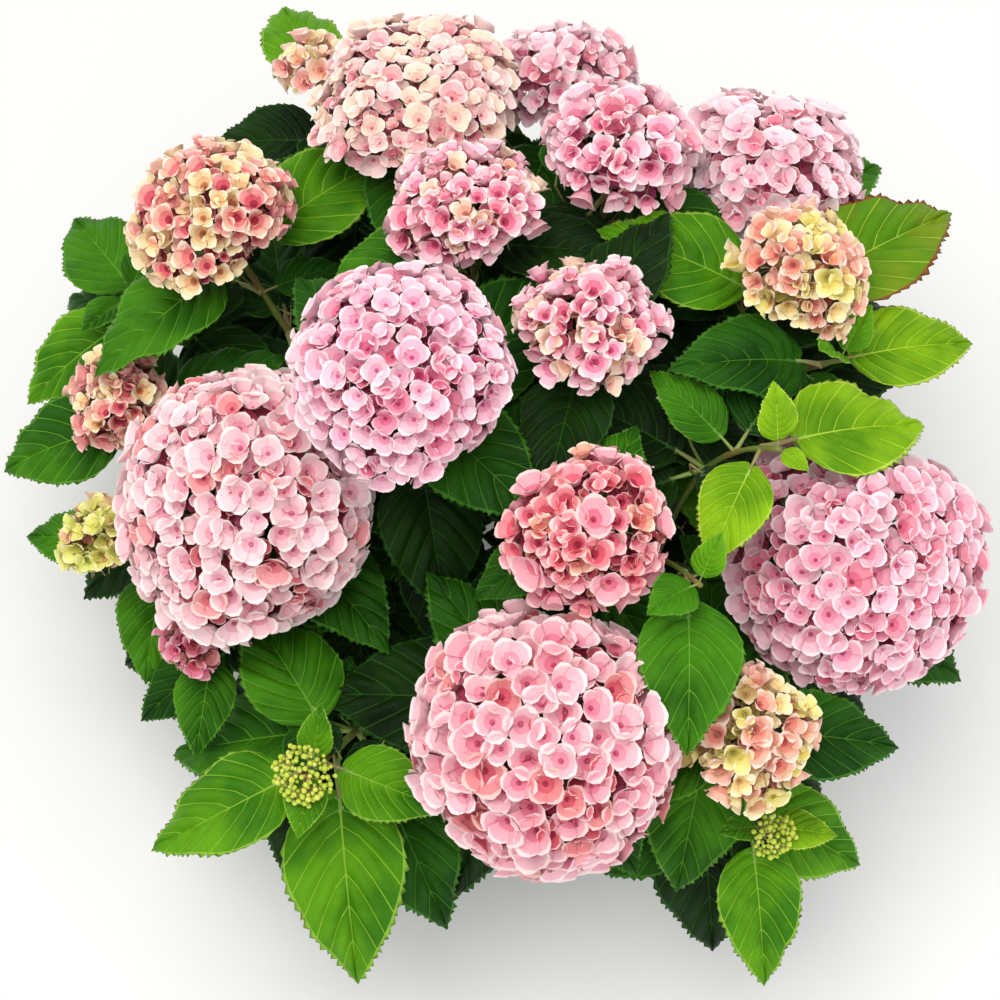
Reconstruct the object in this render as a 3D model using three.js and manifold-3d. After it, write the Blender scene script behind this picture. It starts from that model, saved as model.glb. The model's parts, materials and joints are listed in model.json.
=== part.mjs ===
// A mophead hydrangea shrub, rooted in the ground: a woody stool, the canes that rise from it, and on each
// cane one mass of leafy, flowering shoots. Millimetres, +Z up. The origin is the middle of the flat cut
// under the stool, at ground level; -Y is the front of the shrub.
import * as THREE from "three";
import { mergeVertices } from "three/addons/utils/BufferGeometryUtils.js";
import Module from "manifold-3d";

const wasm = await Module();
wasm.setup();

// Driving dimensions.
const joinGap = 0.3; // between a cane and the stool or stem that it meets
const leafGap = 0.6; // least gap between a leaf and anything that it doesn't grow from
const lowestLeaf = 12; // no leaf hangs below this height
const leanCentre = [0, 130]; // every shoot leans away from here
const stool = { height: 48, footRadius: 54, lobes: 7, lobeDepth: 3, sides: 28 };
// The stool's outline, in shares of its radius and height.
const stoolProfile = [[1, 0], [0.9, 0.18], [0.67, 0.55], [0.56, 0.88], [0.39, 1]];
const cane = { footRadius: 6.4, tipRadius: 4.6, sides: 6, steps: 5, bend: 0.42 };
const caneTop = { height: 118, share: 0.36 }; // a cane ends at this share of the way out to its mass's middle
const outerFoot = { reach: 28, height: 36, rise: 0.28 }; // where a cane starts on the stool, and how steeply
const innerFoot = { reach: 14, height: 42, rise: 0.5 };
const stem = { length: 20, radius: 4.4, sides: 5, overlap: 2 };
const twig = { rootRadius: 3.6, tipRadius: 2.4, sides: 3, steps: 5, outset: 0.3, inset: 0.4 };
const lean = { flowering: 0.08, mostFlowering: 32, leafy: 0.2, mostLeafy: 58 }; // degrees per mm of reach
const leafPairs = { spacing: 40, growing: 7, turn: 90, jitter: 11, aimedJitter: 3, leastShare: 0.1 };
const firstDrop = { underHead: 17, belowTip: 3 };
const youngPairs = { spacing: 17, growing: 13 };
const blade = { length: 139, perHeadRadius: 0.2, lengthSpread: 0.07, petioleHalfWidth: 2 };
const bladeShape = { halfWidth: 0.265, widthSpread: 0.02, fold: 0.2, thickness: 0.017 }; // shares of the length
const pitch = { rise: 18, perPair: -7, youngRise: 48, curl: 34, youngCurl: 30, jitter: 7, withLean: 0.5 };
const pairLengths = [0.92, 1.06, 1.08, 1, 0.94]; // share of the blade's length, from the top pair down
const youngPairLengths = [0.46, 0.96, 1.1, 1.12, 1.04]; // the same where a bud or a growing tip stands
const stations = [0, 0.16, 0.42, 0.73, 1]; // along a leaf, from its root inside the twig to its tip
const bladeWidths = [0, 0.1, 1, 0.74, 0]; // share of the half width at each station
const headForms = {
  open: { depth: 0.86, underside: 0.58, detail: 2, bump: 0.04 },
  young: { depth: 0.84, underside: 0.55, detail: 1, bump: 0.04 },
  flat: { depth: 0.6, underside: 0.6, detail: 2, bump: 0.04 },
  bud: { depth: 0.55, underside: 0.6, detail: 1, bump: 0.08 },
};
const mergeWithin = 0.25; // how far a mass's surface may move when small faces are merged
// What a leaf tries before it is left out: turned about its twig, tipped, and shorter.
const leafTries = [
  [0, 0, 1],
  [12, 0, 1],
  [-12, 0, 1],
  [0, -14, 1],
  [0, 12, 1],
  [24, -6, 0.95],
  [-24, -6, 0.95],
  [16, -20, 0.88],
  [-16, -20, 0.88],
  [0, -8, 0.74],
];

// The crown. Each mass is a list of shoots: where the middle of the head, or the tip of a leafy shoot, stands;
// the head's form and radius; which way its leaves point, as one pair of bearings for each pair of leaves from
// the top, and their shares of the usual size; how much more steeply they rise; and how many pairs it bears.
// Pairs with no bearings of their own stand across the pair above.
const crown = {
  front: [
    { at: [33, -200, 362], form: "open", radius: 97, turns: [[-53, 127], [172, 8], [-116, 64]], pairs: 4 },
    { at: [20, -128, 190], leaf: 0.9, turns: [[-120, 60], [-25, 155]], pairs: 3 },
  ],
  front_left: [
    {
      at: [-143, -214, 330],
      form: "bud",
      radius: 22,
      leaf: 1.08,
      turns: [[80, -100], [-156, -22], [-84, 124], [178, -54]],
      sizes: [[0.75, 0.75], [1, 0.74], [1.08, 0.86]],
      pairs: 5,
    },
    { at: [-165, -150, 185], turns: [[-150, 20], [-95, 80]], pairs: 3 },
  ],
  left: [
    { at: [-194, -2, 346], form: "open", radius: 106, turns: [[-53, 127], [-150, 30]], pairs: 4 },
    { at: [-242, -90, 268], form: "young", radius: 27, leaf: 0.75, turns: [[-95, 60], [-150, 40]], pairs: 3 },
    { at: [-236, -36, 172], turns: [[-90, 80], [-172, 0]], pairs: 3 },
  ],
  far_left: [
    { at: [-314, 121, 283], form: "young", radius: 47, turns: [[-168, 20], [130, -60]], pairs: 4 },
    { at: [-321, -6, 282], form: "young", radius: 36, leaf: 0.7, turns: [[168, -12], [-100, 70]], pairs: 3 },
  ],
  rear_left: [
    {
      at: [-230, 232, 380],
      form: "young",
      radius: 65,
      leaf: 1.05,
      turns: [[-136, 40], [150, 20], [100, -80]],
      sizes: [[1.1, 1.08], [1, 0.45]],
      pairs: 4,
    },
    { at: [-322, 232, 262], turns: [[60, -120], [-141, 118], [150, -60]], lift: 12, pairs: 3 },
    { at: [-190, 330, 200], turns: [[40, -140], [120, -60]], pairs: 3 },
  ],
  rear: [
    { at: [-70, 338, 396], form: "flat", radius: 88, turns: [[-100, 75], [165, -15]], pairs: 4 },
    {
      at: [-159, 406, 352],
      form: "young",
      radius: 34,
      leaf: 1.05,
      turns: [[112, -67], [176, -5]],
      sizes: [[1.1, 1], [0.75, 1]],
      pairs: 3,
    },
    { at: [-60, 360, 205], turns: [[10, -170], [95, -80]], pairs: 3 },
  ],
  back: [
    { at: [-26, 203, 440], form: "young", radius: 59, turns: [[-158, -12], [-100, 80]], pairs: 4 },
    { at: [55, 389, 348], form: "young", radius: 64, turns: [[70, -110], [150, -20]], pairs: 4 },
  ],
  rear_right: [
    { at: [93, 259, 436], form: "young", radius: 61, turns: [[-55, -126], [30, 150]], pairs: 4 },
    { at: [120, 340, 205], turns: [[-10, 170], [75, -100]], pairs: 3 },
  ],
  far_right: [
    {
      at: [222, 278, 376],
      form: "open",
      radius: 78,
      turns: [[20, -165], [-80, 100]],
      sizes: [[1.15, 1]],
      pairs: 4,
    },
    { at: [255, 245, 205], turns: [[-50, 130], [40, -140]], pairs: 3 },
  ],
  right_rear: [
    {
      at: [226, 144, 438],
      form: "young",
      radius: 53,
      leaf: 1.1,
      turns: [[28, 160], [-70, 110]],
      sizes: [[1.22, 1]],
      pairs: 4,
    },
    {
      at: [262, 92, 400],
      leaf: 1.05,
      turns: [[-150, 60], [12, -160], [-60, 100]],
      sizes: [[0.9, 0.7], [1, 1]],
      lift: 22,
      pairs: 4,
    },
  ],
  right: [
    {
      at: [267, -46, 329],
      form: "open",
      radius: 103,
      leaf: 1.1,
      turns: [[-26, 144], [-130, 50]],
      sizes: [[1.12, 1]],
      pairs: 4,
    },
    { at: [275, 20, 195], turns: [[90, -100], [5, -170]], pairs: 3 },
  ],
  right_shoot: [
    {
      at: [200, -12, 454],
      leaf: 0.9,
      turns: [[97, -40], [17, -119], [138, 60]],
      sizes: [[0.9, 0.5], [1.28, 0.82], [0.66, 0.8]],
      pairs: 4,
    },
    { at: [141, -107, 430], turns: [[60, -140], [-89, 122]], sizes: [[0.7, 1], [1, 0.7]], lift: 20, pairs: 2 },
  ],
  front_right: [
    {
      at: [181, -197, 360],
      form: "flat",
      radius: 50,
      leaf: 0.93,
      turns: [[0, -170], [-103, 77]],
      sizes: [[1, 0.9]],
      lift: -8,
      pairs: 4,
    },
    {
      at: [202, -248, 286],
      form: "bud",
      radius: 16,
      leaf: 0.93,
      turns: [[-24, -165], [-87, 80], [6, -165]],
      sizes: [[1.05, 0.8], [1, 1], [0.85, 1]],
      pairs: 4,
    },
  ],
  centre_left: [
    { at: [-72, 42, 470], form: "open", radius: 81, turns: [[-48, 132], [50, -95], [-10, 180]], pairs: 5 },
  ],
  centre: [
    { at: [66, 88, 458], form: "young", radius: 54, turns: [[-115, 60], [-30, 150]], pairs: 5 },
    {
      at: [61, -72, 446],
      form: "young",
      radius: 57,
      turns: [[-150, 62], [-58, 120]],
      sizes: [[0.64, 0.68], [0.84, 1]],
      pairs: 5,
    },
  ],
};
const innerMasses = ["centre_left", "centre", "right_shoot"]; // their canes stand on top of the stool

const degrees = Math.PI / 180;
const up = new THREE.Vector3(0, 0, 1);

// A seeded random number from 0 to 1 (mulberry32).
function seeded(seed) {
  let state = seed >>> 0;
  return () => {
    state = (state + 0x6d2b79f5) >>> 0;
    let t = Math.imul(state ^ (state >>> 15), state | 1);
    t = (t + Math.imul(t ^ (t >>> 7), t | 61)) ^ t;
    return ((t ^ (t >>> 14)) >>> 0) / 4294967296;
  };
}

// Moves every vertex of a geometry by a rule and returns it as one closed solid.
function reshaped(geometry, place) {
  const bare = geometry.clone();
  bare.deleteAttribute("normal");
  bare.deleteAttribute("uv");
  const merged = mergeVertices(bare, 1e-4);
  const position = merged.getAttribute("position");
  const point = new THREE.Vector3();
  for (let i = 0; i < position.count; i++) {
    point.fromBufferAttribute(position, i);
    const moved = place(point, i);
    position.setXYZ(i, moved.x, moved.y, moved.z);
  }
  return new wasm.Manifold(
    new wasm.Mesh({
      numProp: 3,
      vertProperties: new Float32Array(position.array),
      triVerts: new Uint32Array(merged.index.array),
    }),
  );
}

function meshOf(name, solid, material) {
  const made = solid.getMesh();
  const points = new Float32Array(made.numVert * 3);
  for (let i = 0; i < made.numVert; i++) {
    points.set(made.vertProperties.subarray(i * made.numProp, i * made.numProp + 3), i * 3);
  }
  const geometry = new THREE.BufferGeometry();
  geometry.setAttribute("position", new THREE.BufferAttribute(points, 3));
  geometry.setIndex(new THREE.BufferAttribute(made.triVerts, 1));
  geometry.computeVertexNormals();
  const mesh = new THREE.Mesh(geometry, material);
  mesh.name = name;
  return mesh;
}

// A tapering limb: a capped cylinder bent along a curve.
function limb(curve, rootRadius, tipRadius, sides, steps) {
  const unbent = new THREE.CylinderGeometry(1, 1, 1, sides, steps);
  return reshaped(unbent, (point) => {
    const along = Math.min(Math.max(point.y + 0.5, 0), 1);
    const radius = rootRadius + (tipRadius - rootRadius) * along;
    const tangent = curve.getTangent(along);
    const side = new THREE.Vector3(0, 1, 0).cross(tangent).normalize();
    const out = new THREE.Vector3().crossVectors(side, tangent);
    return curve
      .getPoint(along)
      .addScaledVector(side, point.x * radius)
      .addScaledVector(out, point.z * radius);
  });
}

// The stool, a low woody stump with a lobed foot, grown outwards by a clearance.
function stoolSolid(clearance = 0) {
  const profile = stoolProfile.map(([radius, height]) => [radius * stool.footRadius, height * stool.height]);
  const grownBy = (height) => height && height + clearance;
  const rim = profile.map(([radius, height]) => new THREE.Vector2(radius + clearance, grownBy(height)));
  const top = new THREE.Vector2(0, stool.height + clearance);
  const lathe = new THREE.LatheGeometry([new THREE.Vector2(0, 0), ...rim, top], stool.sides);
  return reshaped(lathe, (point) => {
    const angle = Math.atan2(-point.z, point.x);
    const radius = Math.hypot(point.x, point.z);
    const share = radius / stool.footRadius;
    const lobed = radius + stool.lobeDepth * share * share * Math.cos(stool.lobes * angle);
    return new THREE.Vector3(lobed * Math.cos(angle), lobed * Math.sin(angle), point.y);
  });
}

// How far a shoot's tip leans, and towards which bearing.
function shootLean(shoot) {
  const [x, y] = [shoot.at[0] - leanCentre[0], shoot.at[1] - leanCentre[1]];
  const reach = Math.hypot(x, y);
  const [perReach, most] = shoot.form ? [lean.flowering, lean.mostFlowering] : [lean.leafy, lean.mostLeafy];
  return { tilt: Math.min(reach * perReach, most), bearing: Math.atan2(y, x) / degrees };
}

function shootAxis(shoot) {
  const { tilt, bearing } = shootLean(shoot);
  return new THREE.Vector3(0, 0, 1)
    .applyAxisAngle(new THREE.Vector3(0, 1, 0), tilt * degrees)
    .applyAxisAngle(up, bearing * degrees);
}

function middleOf(shoots) {
  const middle = new THREE.Vector3();
  shoots.forEach((shoot) => middle.add(new THREE.Vector3(...shoot.at)));
  return middle.divideScalar(shoots.length);
}

// A cane's line, from its foot on the stool to the place where the mass takes over.
function caneLine(name, order, count) {
  const middle = middleOf(crown[name]);
  const start = innerMasses.includes(name) ? innerFoot : outerFoot;
  const footAngle = ((order + 0.5) / count) * 2 * Math.PI - Math.PI;
  const foot = new THREE.Vector3(start.reach, 0, start.height).applyAxisAngle(up, footAngle);
  const top = new THREE.Vector3(middle.x * caneTop.share, middle.y * caneTop.share, caneTop.height);
  const bend = new THREE.Vector3(
    foot.x + (top.x - foot.x) * cane.bend,
    foot.y + (top.y - foot.y) * cane.bend,
    foot.z + (top.z - foot.z) * start.rise,
  );
  return new THREE.QuadraticBezierCurve3(foot, bend, top);
}

// A shoot's line, from the fork of its mass into the middle of its head, or to its growing tip.
function shootLine(fork, forkAxis, shoot) {
  const tip = new THREE.Vector3(...shoot.at);
  const span = fork.distanceTo(tip);
  return new THREE.CubicBezierCurve3(
    fork,
    fork.clone().addScaledVector(forkAxis, span * twig.outset),
    tip.clone().addScaledVector(shootAxis(shoot), -span * twig.inset),
    tip,
  );
}

// The straight pieces that a limb's faces follow, as one path.
function straightened(curve, steps) {
  const path = new THREE.CurvePath();
  const points = curve.getPoints(steps);
  for (let i = 0; i < steps; i++) path.add(new THREE.LineCurve3(points[i], points[i + 1]));
  return path;
}

// A head of flowers: a deep dome with a flatter underside and a surface of bumps.
function headSolid(shoot, seed) {
  const form = headForms[shoot.form];
  const random = seeded(seed);
  const axis = shootAxis(shoot);
  const turn = new THREE.Quaternion().setFromUnitVectors(up, axis);
  const middle = new THREE.Vector3(...shoot.at);
  return reshaped(new THREE.IcosahedronGeometry(1, form.detail), (point) => {
    const radius = shoot.radius * (1 - form.bump * random());
    const height = point.z * form.depth * (point.z < 0 ? form.underside : 1);
    return new THREE.Vector3(point.x, point.y, height).multiplyScalar(radius).applyQuaternion(turn).add(middle);
  });
}

// One leaf: a petiole that widens into a folded, drooping blade with a thick midrib and thin edges.
function leafSolid({ root, azimuth, length, halfWidth, startPitch, endPitch }) {
  const bending = (endPitch - startPitch) / length;
  const heading = new THREE.Vector3(Math.cos(azimuth), Math.sin(azimuth), 0);
  const side = new THREE.Vector3(Math.sin(azimuth), -Math.cos(azimuth), 0);
  const thick = (bladeShape.thickness * length) / 2;
  return reshaped(new THREE.ConeGeometry(1, 1, 4, stations.length - 1), (point) => {
    const ring = Math.round((point.y + 0.5) * (stations.length - 1));
    const angle = startPitch + bending * stations[ring] * length;
    const onward = (Math.sin(angle) - Math.sin(startPitch)) / bending;
    const upward = (Math.cos(startPitch) - Math.cos(angle)) / bending;
    const spot = root.clone().addScaledVector(heading, onward).addScaledVector(up, upward);
    const around = Math.hypot(point.x, point.z);
    if (around < 1e-6) return spot;
    const sideways = Math.round(point.x / around);
    const half = Math.max(bladeWidths[ring] * halfWidth, blade.petioleHalfWidth);
    const fold = ring > 1 ? bladeShape.fold * half * Math.abs(sideways) : 0;
    const above = heading.clone().multiplyScalar(-Math.sin(angle)).addScaledVector(up, Math.cos(angle));
    return spot
      .addScaledVector(side, sideways * half)
      .addScaledVector(above, fold + Math.round(point.z / around) * thick);
  });
}

// The leaves that a shoot's rule asks for, in opposite pairs down from its tip, each pair turned from the last.
// A leaf leaves its twig a little above square to it and curls down towards its tip.
function leavesOf(shoot, line, shootNumber) {
  const wanted = [];
  const form = headForms[shoot.form];
  const young = !shoot.form || shoot.form === "bud";
  const shares = young ? youngPairLengths : pairLengths;
  const { tilt, bearing } = shootLean(shoot);
  const last = shoot.turns.length - 1;
  const gaps = young ? youngPairs : leafPairs;
  let down = form ? shoot.radius * form.depth * form.underside + firstDrop.underHead : firstDrop.belowTip;
  for (let pair = 0; pair < shoot.pairs; pair++) {
    const along = 1 - down / line.getLength();
    if (along < leafPairs.leastShare) break;
    for (let side = 0; side < 2; side++) {
      const random = seeded(1000 * shootNumber + 10 * pair + side + 1);
      const jitter = pair > last ? leafPairs.jitter : leafPairs.aimedJitter;
      const aim = shoot.turns[Math.min(pair, last)][side] + leafPairs.turn * Math.max(pair - last, 0);
      const turn = aim + (2 * random() - 1) * jitter;
      const spread = 1 + (2 * random() - 1) * blade.lengthSpread;
      const fullLength = (blade.length + blade.perHeadRadius * (shoot.radius || 0)) * (shoot.leaf || 1);
      const length = fullLength * shares[pair] * (shoot.sizes?.[pair]?.[side] || 1) * spread;
      const halfWidth = (bladeShape.halfWidth + (2 * random() - 1) * bladeShape.widthSpread) * length;
      const smallest = young && pair === 0;
      const rise = smallest ? pitch.youngRise : pitch.rise + pitch.perPair * pair + (shoot.lift || 0);
      const start = rise - pitch.withLean * tilt * Math.cos((turn - bearing) * degrees);
      const end = start - (smallest ? pitch.youngCurl : pitch.curl) + (2 * random() - 1) * pitch.jitter;
      wanted.push({ pair, root: line.getPoint(along), turn, length, halfWidth, start, end });
    }
    down += gaps.spacing + gaps.growing * pair;
  }
  return wanted;
}

function boxesMeet(a, b, room) {
  return [0, 1, 2].every((i) => a.min[i] - room < b.max[i] && b.min[i] - room < a.max[i]);
}

const bark = new THREE.MeshStandardMaterial({ color: 0x7b6650, roughness: 0.9, metalness: 0 });
const foliage = new THREE.MeshStandardMaterial({ color: 0x3f7a2a, roughness: 0.6, metalness: 0 });
const shrub = new THREE.Group();

// Everything that a leaf has to keep clear of.
const placed = [];
function keep(solid, facts) {
  placed.push({ solid, box: solid.boundingBox(), ...facts });
  return solid;
}

// A leaf's solid at the first try that stands free of all but its own twig and its partner across the twig.
function placedLeaf(leaf, mass, shoot) {
  const grownFrom = (item) => item.kind === "wood" && item.mass === mass && (item.shoot || shoot) === shoot;
  const partner = (item) => item.shoot === shoot && item.pair === leaf.pair;
  const others = placed.filter((item) => !grownFrom(item) && !partner(item));
  for (const [turned, tipped, shorter] of leafTries) {
    const tried = leafSolid({
      root: leaf.root,
      azimuth: (leaf.turn + turned) * degrees,
      length: leaf.length * shorter,
      halfWidth: leaf.halfWidth * shorter,
      startPitch: (leaf.start + tipped) * degrees,
      endPitch: (leaf.end + tipped) * degrees,
    });
    const box = tried.boundingBox();
    const near = others.filter((item) => boxesMeet(box, item.box, leafGap));
    const clear = near.every((item) => tried.minGap(item.solid, leafGap * 2) > leafGap);
    if (clear && box.min[2] > lowestLeaf) return tried;
  }
  return null;
}

// The stool and the canes, and on each cane a stem that forks into the twigs of its mass.
const stump = stoolSolid();
keep(stump, { kind: "wood", mass: "stool" });
shrub.add(meshOf("stool", stump, bark));

const stumpWithRoom = stoolSolid(joinGap);
const azimuthOf = (name) => Math.atan2(middleOf(crown[name]).y, middleOf(crown[name]).x);
const [inner, outer] = [true, false].map((inside) =>
  Object.keys(crown)
    .filter((name) => innerMasses.includes(name) === inside)
    .sort((a, b) => azimuthOf(a) - azimuthOf(b)),
);
const shootNumbers = new Map(Object.values(crown).flat().map((shoot, index) => [shoot, index + 1]));
const grown = new Map();

for (const name of Object.keys(crown)) {
  const ring = innerMasses.includes(name) ? inner : outer;
  const caneCurve = caneLine(name, ring.indexOf(name), ring.length);
  const wood = limb(caneCurve, cane.footRadius, cane.tipRadius, cane.sides, cane.steps).subtract(stumpWithRoom);
  shrub.add(meshOf("cane_" + name, keep(wood, { kind: "wood", mass: "canes" }), bark));

  const axis = caneCurve.getTangent(1);
  const foot = caneCurve.getPoint(1).addScaledVector(axis, joinGap);
  const fork = foot.clone().addScaledVector(axis, stem.length);
  const stemLine = new THREE.LineCurve3(foot, fork.clone().addScaledVector(axis, stem.overlap));
  const short = limb(stemLine, stem.radius, twig.rootRadius, stem.sides, 1);
  const parts = [keep(short, { kind: "wood", mass: name })];
  const lines = new Map();
  for (const shoot of crown[name]) {
    const line = shootLine(fork, axis, shoot);
    lines.set(shoot, straightened(line, twig.steps));
    const branch = limb(line, twig.rootRadius, twig.tipRadius, twig.sides, twig.steps);
    parts.push(keep(branch, { kind: "wood", mass: name, shoot }));
    if (shoot.form) {
      parts.push(keep(headSolid(shoot, shootNumbers.get(shoot)), { kind: "head", mass: name, shoot }));
    }
  }
  grown.set(name, { parts, lines });
}

// Each leaf in turn takes a place that is still free, the top pairs of every shoot first.
const mostPairs = Math.max(...[...shootNumbers.keys()].map((shoot) => shoot.pairs));
for (let pair = 0; pair < mostPairs; pair++) {
  for (const [name, { parts, lines }] of grown) {
    for (const [shoot, line] of lines) {
      const wanted = leavesOf(shoot, line, shootNumbers.get(shoot));
      for (const leaf of wanted.filter((candidate) => candidate.pair === pair)) {
        const solid = placedLeaf(leaf, name, shoot);
        if (solid) parts.push(keep(solid, { kind: "leaf", mass: name, shoot, pair }));
      }
    }
  }
}

for (const [name, { parts }] of grown) {
  const whole = wasm.Manifold.union(parts).asOriginal().simplify(mergeWithin);
  shrub.add(meshOf("foliage_" + name, whole, foliage));
}

export default shrub;
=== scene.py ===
import json
import math

import bmesh
import bpy
import numpy as np
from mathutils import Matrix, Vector
from mathutils.bvhtree import BVHTree

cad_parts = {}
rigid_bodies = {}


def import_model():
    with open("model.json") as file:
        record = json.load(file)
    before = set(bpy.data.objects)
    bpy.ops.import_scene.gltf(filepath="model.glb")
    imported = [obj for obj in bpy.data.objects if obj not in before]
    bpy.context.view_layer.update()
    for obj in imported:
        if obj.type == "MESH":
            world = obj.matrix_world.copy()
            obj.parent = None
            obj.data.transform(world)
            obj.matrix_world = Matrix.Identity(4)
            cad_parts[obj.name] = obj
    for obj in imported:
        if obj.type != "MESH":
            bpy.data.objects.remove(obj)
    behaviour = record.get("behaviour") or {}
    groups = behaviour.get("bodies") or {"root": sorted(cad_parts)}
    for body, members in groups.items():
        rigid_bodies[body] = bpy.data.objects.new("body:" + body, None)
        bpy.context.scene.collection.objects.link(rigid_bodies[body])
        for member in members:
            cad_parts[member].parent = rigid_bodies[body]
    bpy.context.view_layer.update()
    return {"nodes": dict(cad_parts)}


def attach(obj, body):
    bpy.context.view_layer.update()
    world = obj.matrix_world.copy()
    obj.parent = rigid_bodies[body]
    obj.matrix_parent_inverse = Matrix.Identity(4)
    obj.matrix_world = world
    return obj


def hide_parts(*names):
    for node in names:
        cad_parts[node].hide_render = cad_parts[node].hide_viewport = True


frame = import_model()
mm = 0.001
degree = math.pi / 180
up = np.array([0.0, 0.0, 1.0])


# The camera, the pale floor and the soft studio light.
view = {"place": (0, -0.597, 1.623), "target": (0, 0.02, 0.30), "lens": 66, "sensor": 36}
studio = {
    "floorSize": 8, "floorColour": "#FBFBFA", "skyColour": "#FFFFFF", "skyStrength": 0.78,
    "overhead": {"place": (-0.32, -0.1, 2.35), "size": 1.5, "power": 22.5, "colour": "#FFFBF4"},
    "side": {"place": (1.6, -1.2, 1.3), "size": 1.4, "power": 6.5, "colour": "#F6FAFF"},
}


def shade(code):  # a hex colour as the linear colour that a shader takes
    parts = [int(code[i:i + 2], 16) / 255 for i in (1, 3, 5)]
    return [c / 12.92 if c <= 0.04045 else ((c + 0.055) / 1.055) ** 2.4 for c in parts] + [1]


def aimed(thing, place, target):
    thing.location = place
    thing.rotation_euler = (Vector(target) - Vector(place)).to_track_quat("-Z", "Y").to_euler()
    bpy.context.scene.collection.objects.link(thing)
    return thing


def setUpStudio():
    lens = bpy.data.cameras.new("camera")
    lens.lens, lens.sensor_width, lens.clip_end = view["lens"], view["sensor"], 50
    bpy.context.scene.camera = aimed(bpy.data.objects.new("camera", lens), view["place"], view["target"])
    for name in ("overhead", "side"):
        facts = studio[name]
        light = bpy.data.lights.new(name, "AREA")
        light.shape, light.size, light.energy = "DISK", facts["size"], facts["power"]
        light.color = shade(facts["colour"])[:3]
        aimed(bpy.data.objects.new(name, light), facts["place"], (0, 0.05, 0.3))
    world = bpy.data.worlds.new("sky")
    bpy.context.scene.world = world
    world.use_nodes = True
    sky = world.node_tree.nodes["Background"]
    sky.inputs["Color"].default_value = shade(studio["skyColour"])
    sky.inputs["Strength"].default_value = studio["skyStrength"]
    bpy.context.scene.view_settings.view_transform = "Standard"
    half = studio["floorSize"] / 2
    mesh = bpy.data.meshes.new("floor")
    corners = [(-half, -half, 0), (half, -half, 0), (half, half, 0), (-half, half, 0)]
    mesh.from_pydata(corners, [], [(0, 1, 2, 3)])
    floor = bpy.data.objects.new("floor", mesh)
    bpy.context.scene.collection.objects.link(floor)
    mesh.materials.append(finish("floor", studio["floorColour"], roughness=0.9, grain=60, relief=0.0002))


def nodeTools(tree):  # short ways to add a node, with its inputs set or linked by their names or numbers
    def add(kind, inputs=(), **settings):
        node = tree.nodes.new(kind)
        for label, value in settings.items():
            setattr(node, label, value)
        for socket, value in dict(inputs).items():
            put(node.inputs[socket], value)
        return node

    def put(socket, value):
        if isinstance(value, bpy.types.NodeSocket):
            tree.links.new(value, socket)
        else:
            socket.default_value = value

    def maths(operation, *values):
        return add("ShaderNodeMath", enumerate(values), operation=operation).outputs[0]

    def vectors(operation, *values, **named):
        node = add("ShaderNodeVectorMath", {**dict(enumerate(values)), **named}, operation=operation)
        return node.outputs["Value" if operation == "DOT_PRODUCT" else "Vector"]

    return add, put, maths, vectors


# Materials. A plain colour where the faces carry the pattern, or two close colours in soft patches; on leaf
# blades the lighter green is partly a painted highlight.
finishRule = {"patchDetail": 2, "patchEdges": (0.38, 0.62), "grainDetail": 3, "netWidth": 0.22}


def finish(name, colour, second=None, patch=18, roughness=0.5, spread=0.12, grain=260, relief=0.0003,
           cells=False, sheen=0.0, gloss=0.35):
    rule = finishRule
    material = bpy.data.materials.new(name)
    material.use_nodes = True
    material.diffuse_color = shade(colour)
    add, put, _, _ = nodeTools(material.node_tree)
    shader = material.node_tree.nodes["Principled BSDF"].inputs
    put(shader["Base Color"], shade(colour))
    put(shader["Sheen Weight"], sheen)
    put(shader["Specular IOR Level"], gloss)
    places = add("ShaderNodeTexCoord").outputs["Object"]
    if second:
        patches = add("ShaderNodeTexNoise", {"Vector": places, "Scale": patch, "Detail": rule["patchDetail"]})
        ramp = add("ShaderNodeValToRGB", {"Fac": patches.outputs["Fac"]})
        for stop, edge, code in zip(ramp.color_ramp.elements, rule["patchEdges"], (colour, second)):
            stop.position = edge
            stop.color = shade(code)
        put(shader["Base Color"], ramp.outputs["Color"])
    noise = add("ShaderNodeTexNoise", {"Vector": places, "Scale": grain, "Detail": rule["grainDetail"]})
    fine = noise.outputs["Fac"]
    rough = add("ShaderNodeMapRange", {
        "Value": fine, "To Min": roughness - spread, "To Max": roughness + spread,
    })
    put(shader["Roughness"], rough.outputs["Result"])
    height = fine
    if cells:  # the net of small veins, as sunken lines between little cushions
        net = add("ShaderNodeTexVoronoi", {"Vector": places, "Scale": cells}, feature="DISTANCE_TO_EDGE")
        soft = add("ShaderNodeMapRange", {"Value": net.outputs["Distance"], "From Max": rule["netWidth"]},
                   interpolation_type="SMOOTHSTEP")
        height = soft.outputs["Result"]
    bump = add("ShaderNodeBump", {"Height": height, "Distance": relief})
    put(shader["Normal"], bump.outputs["Normal"])
    return material


setUpStudio()
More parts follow.
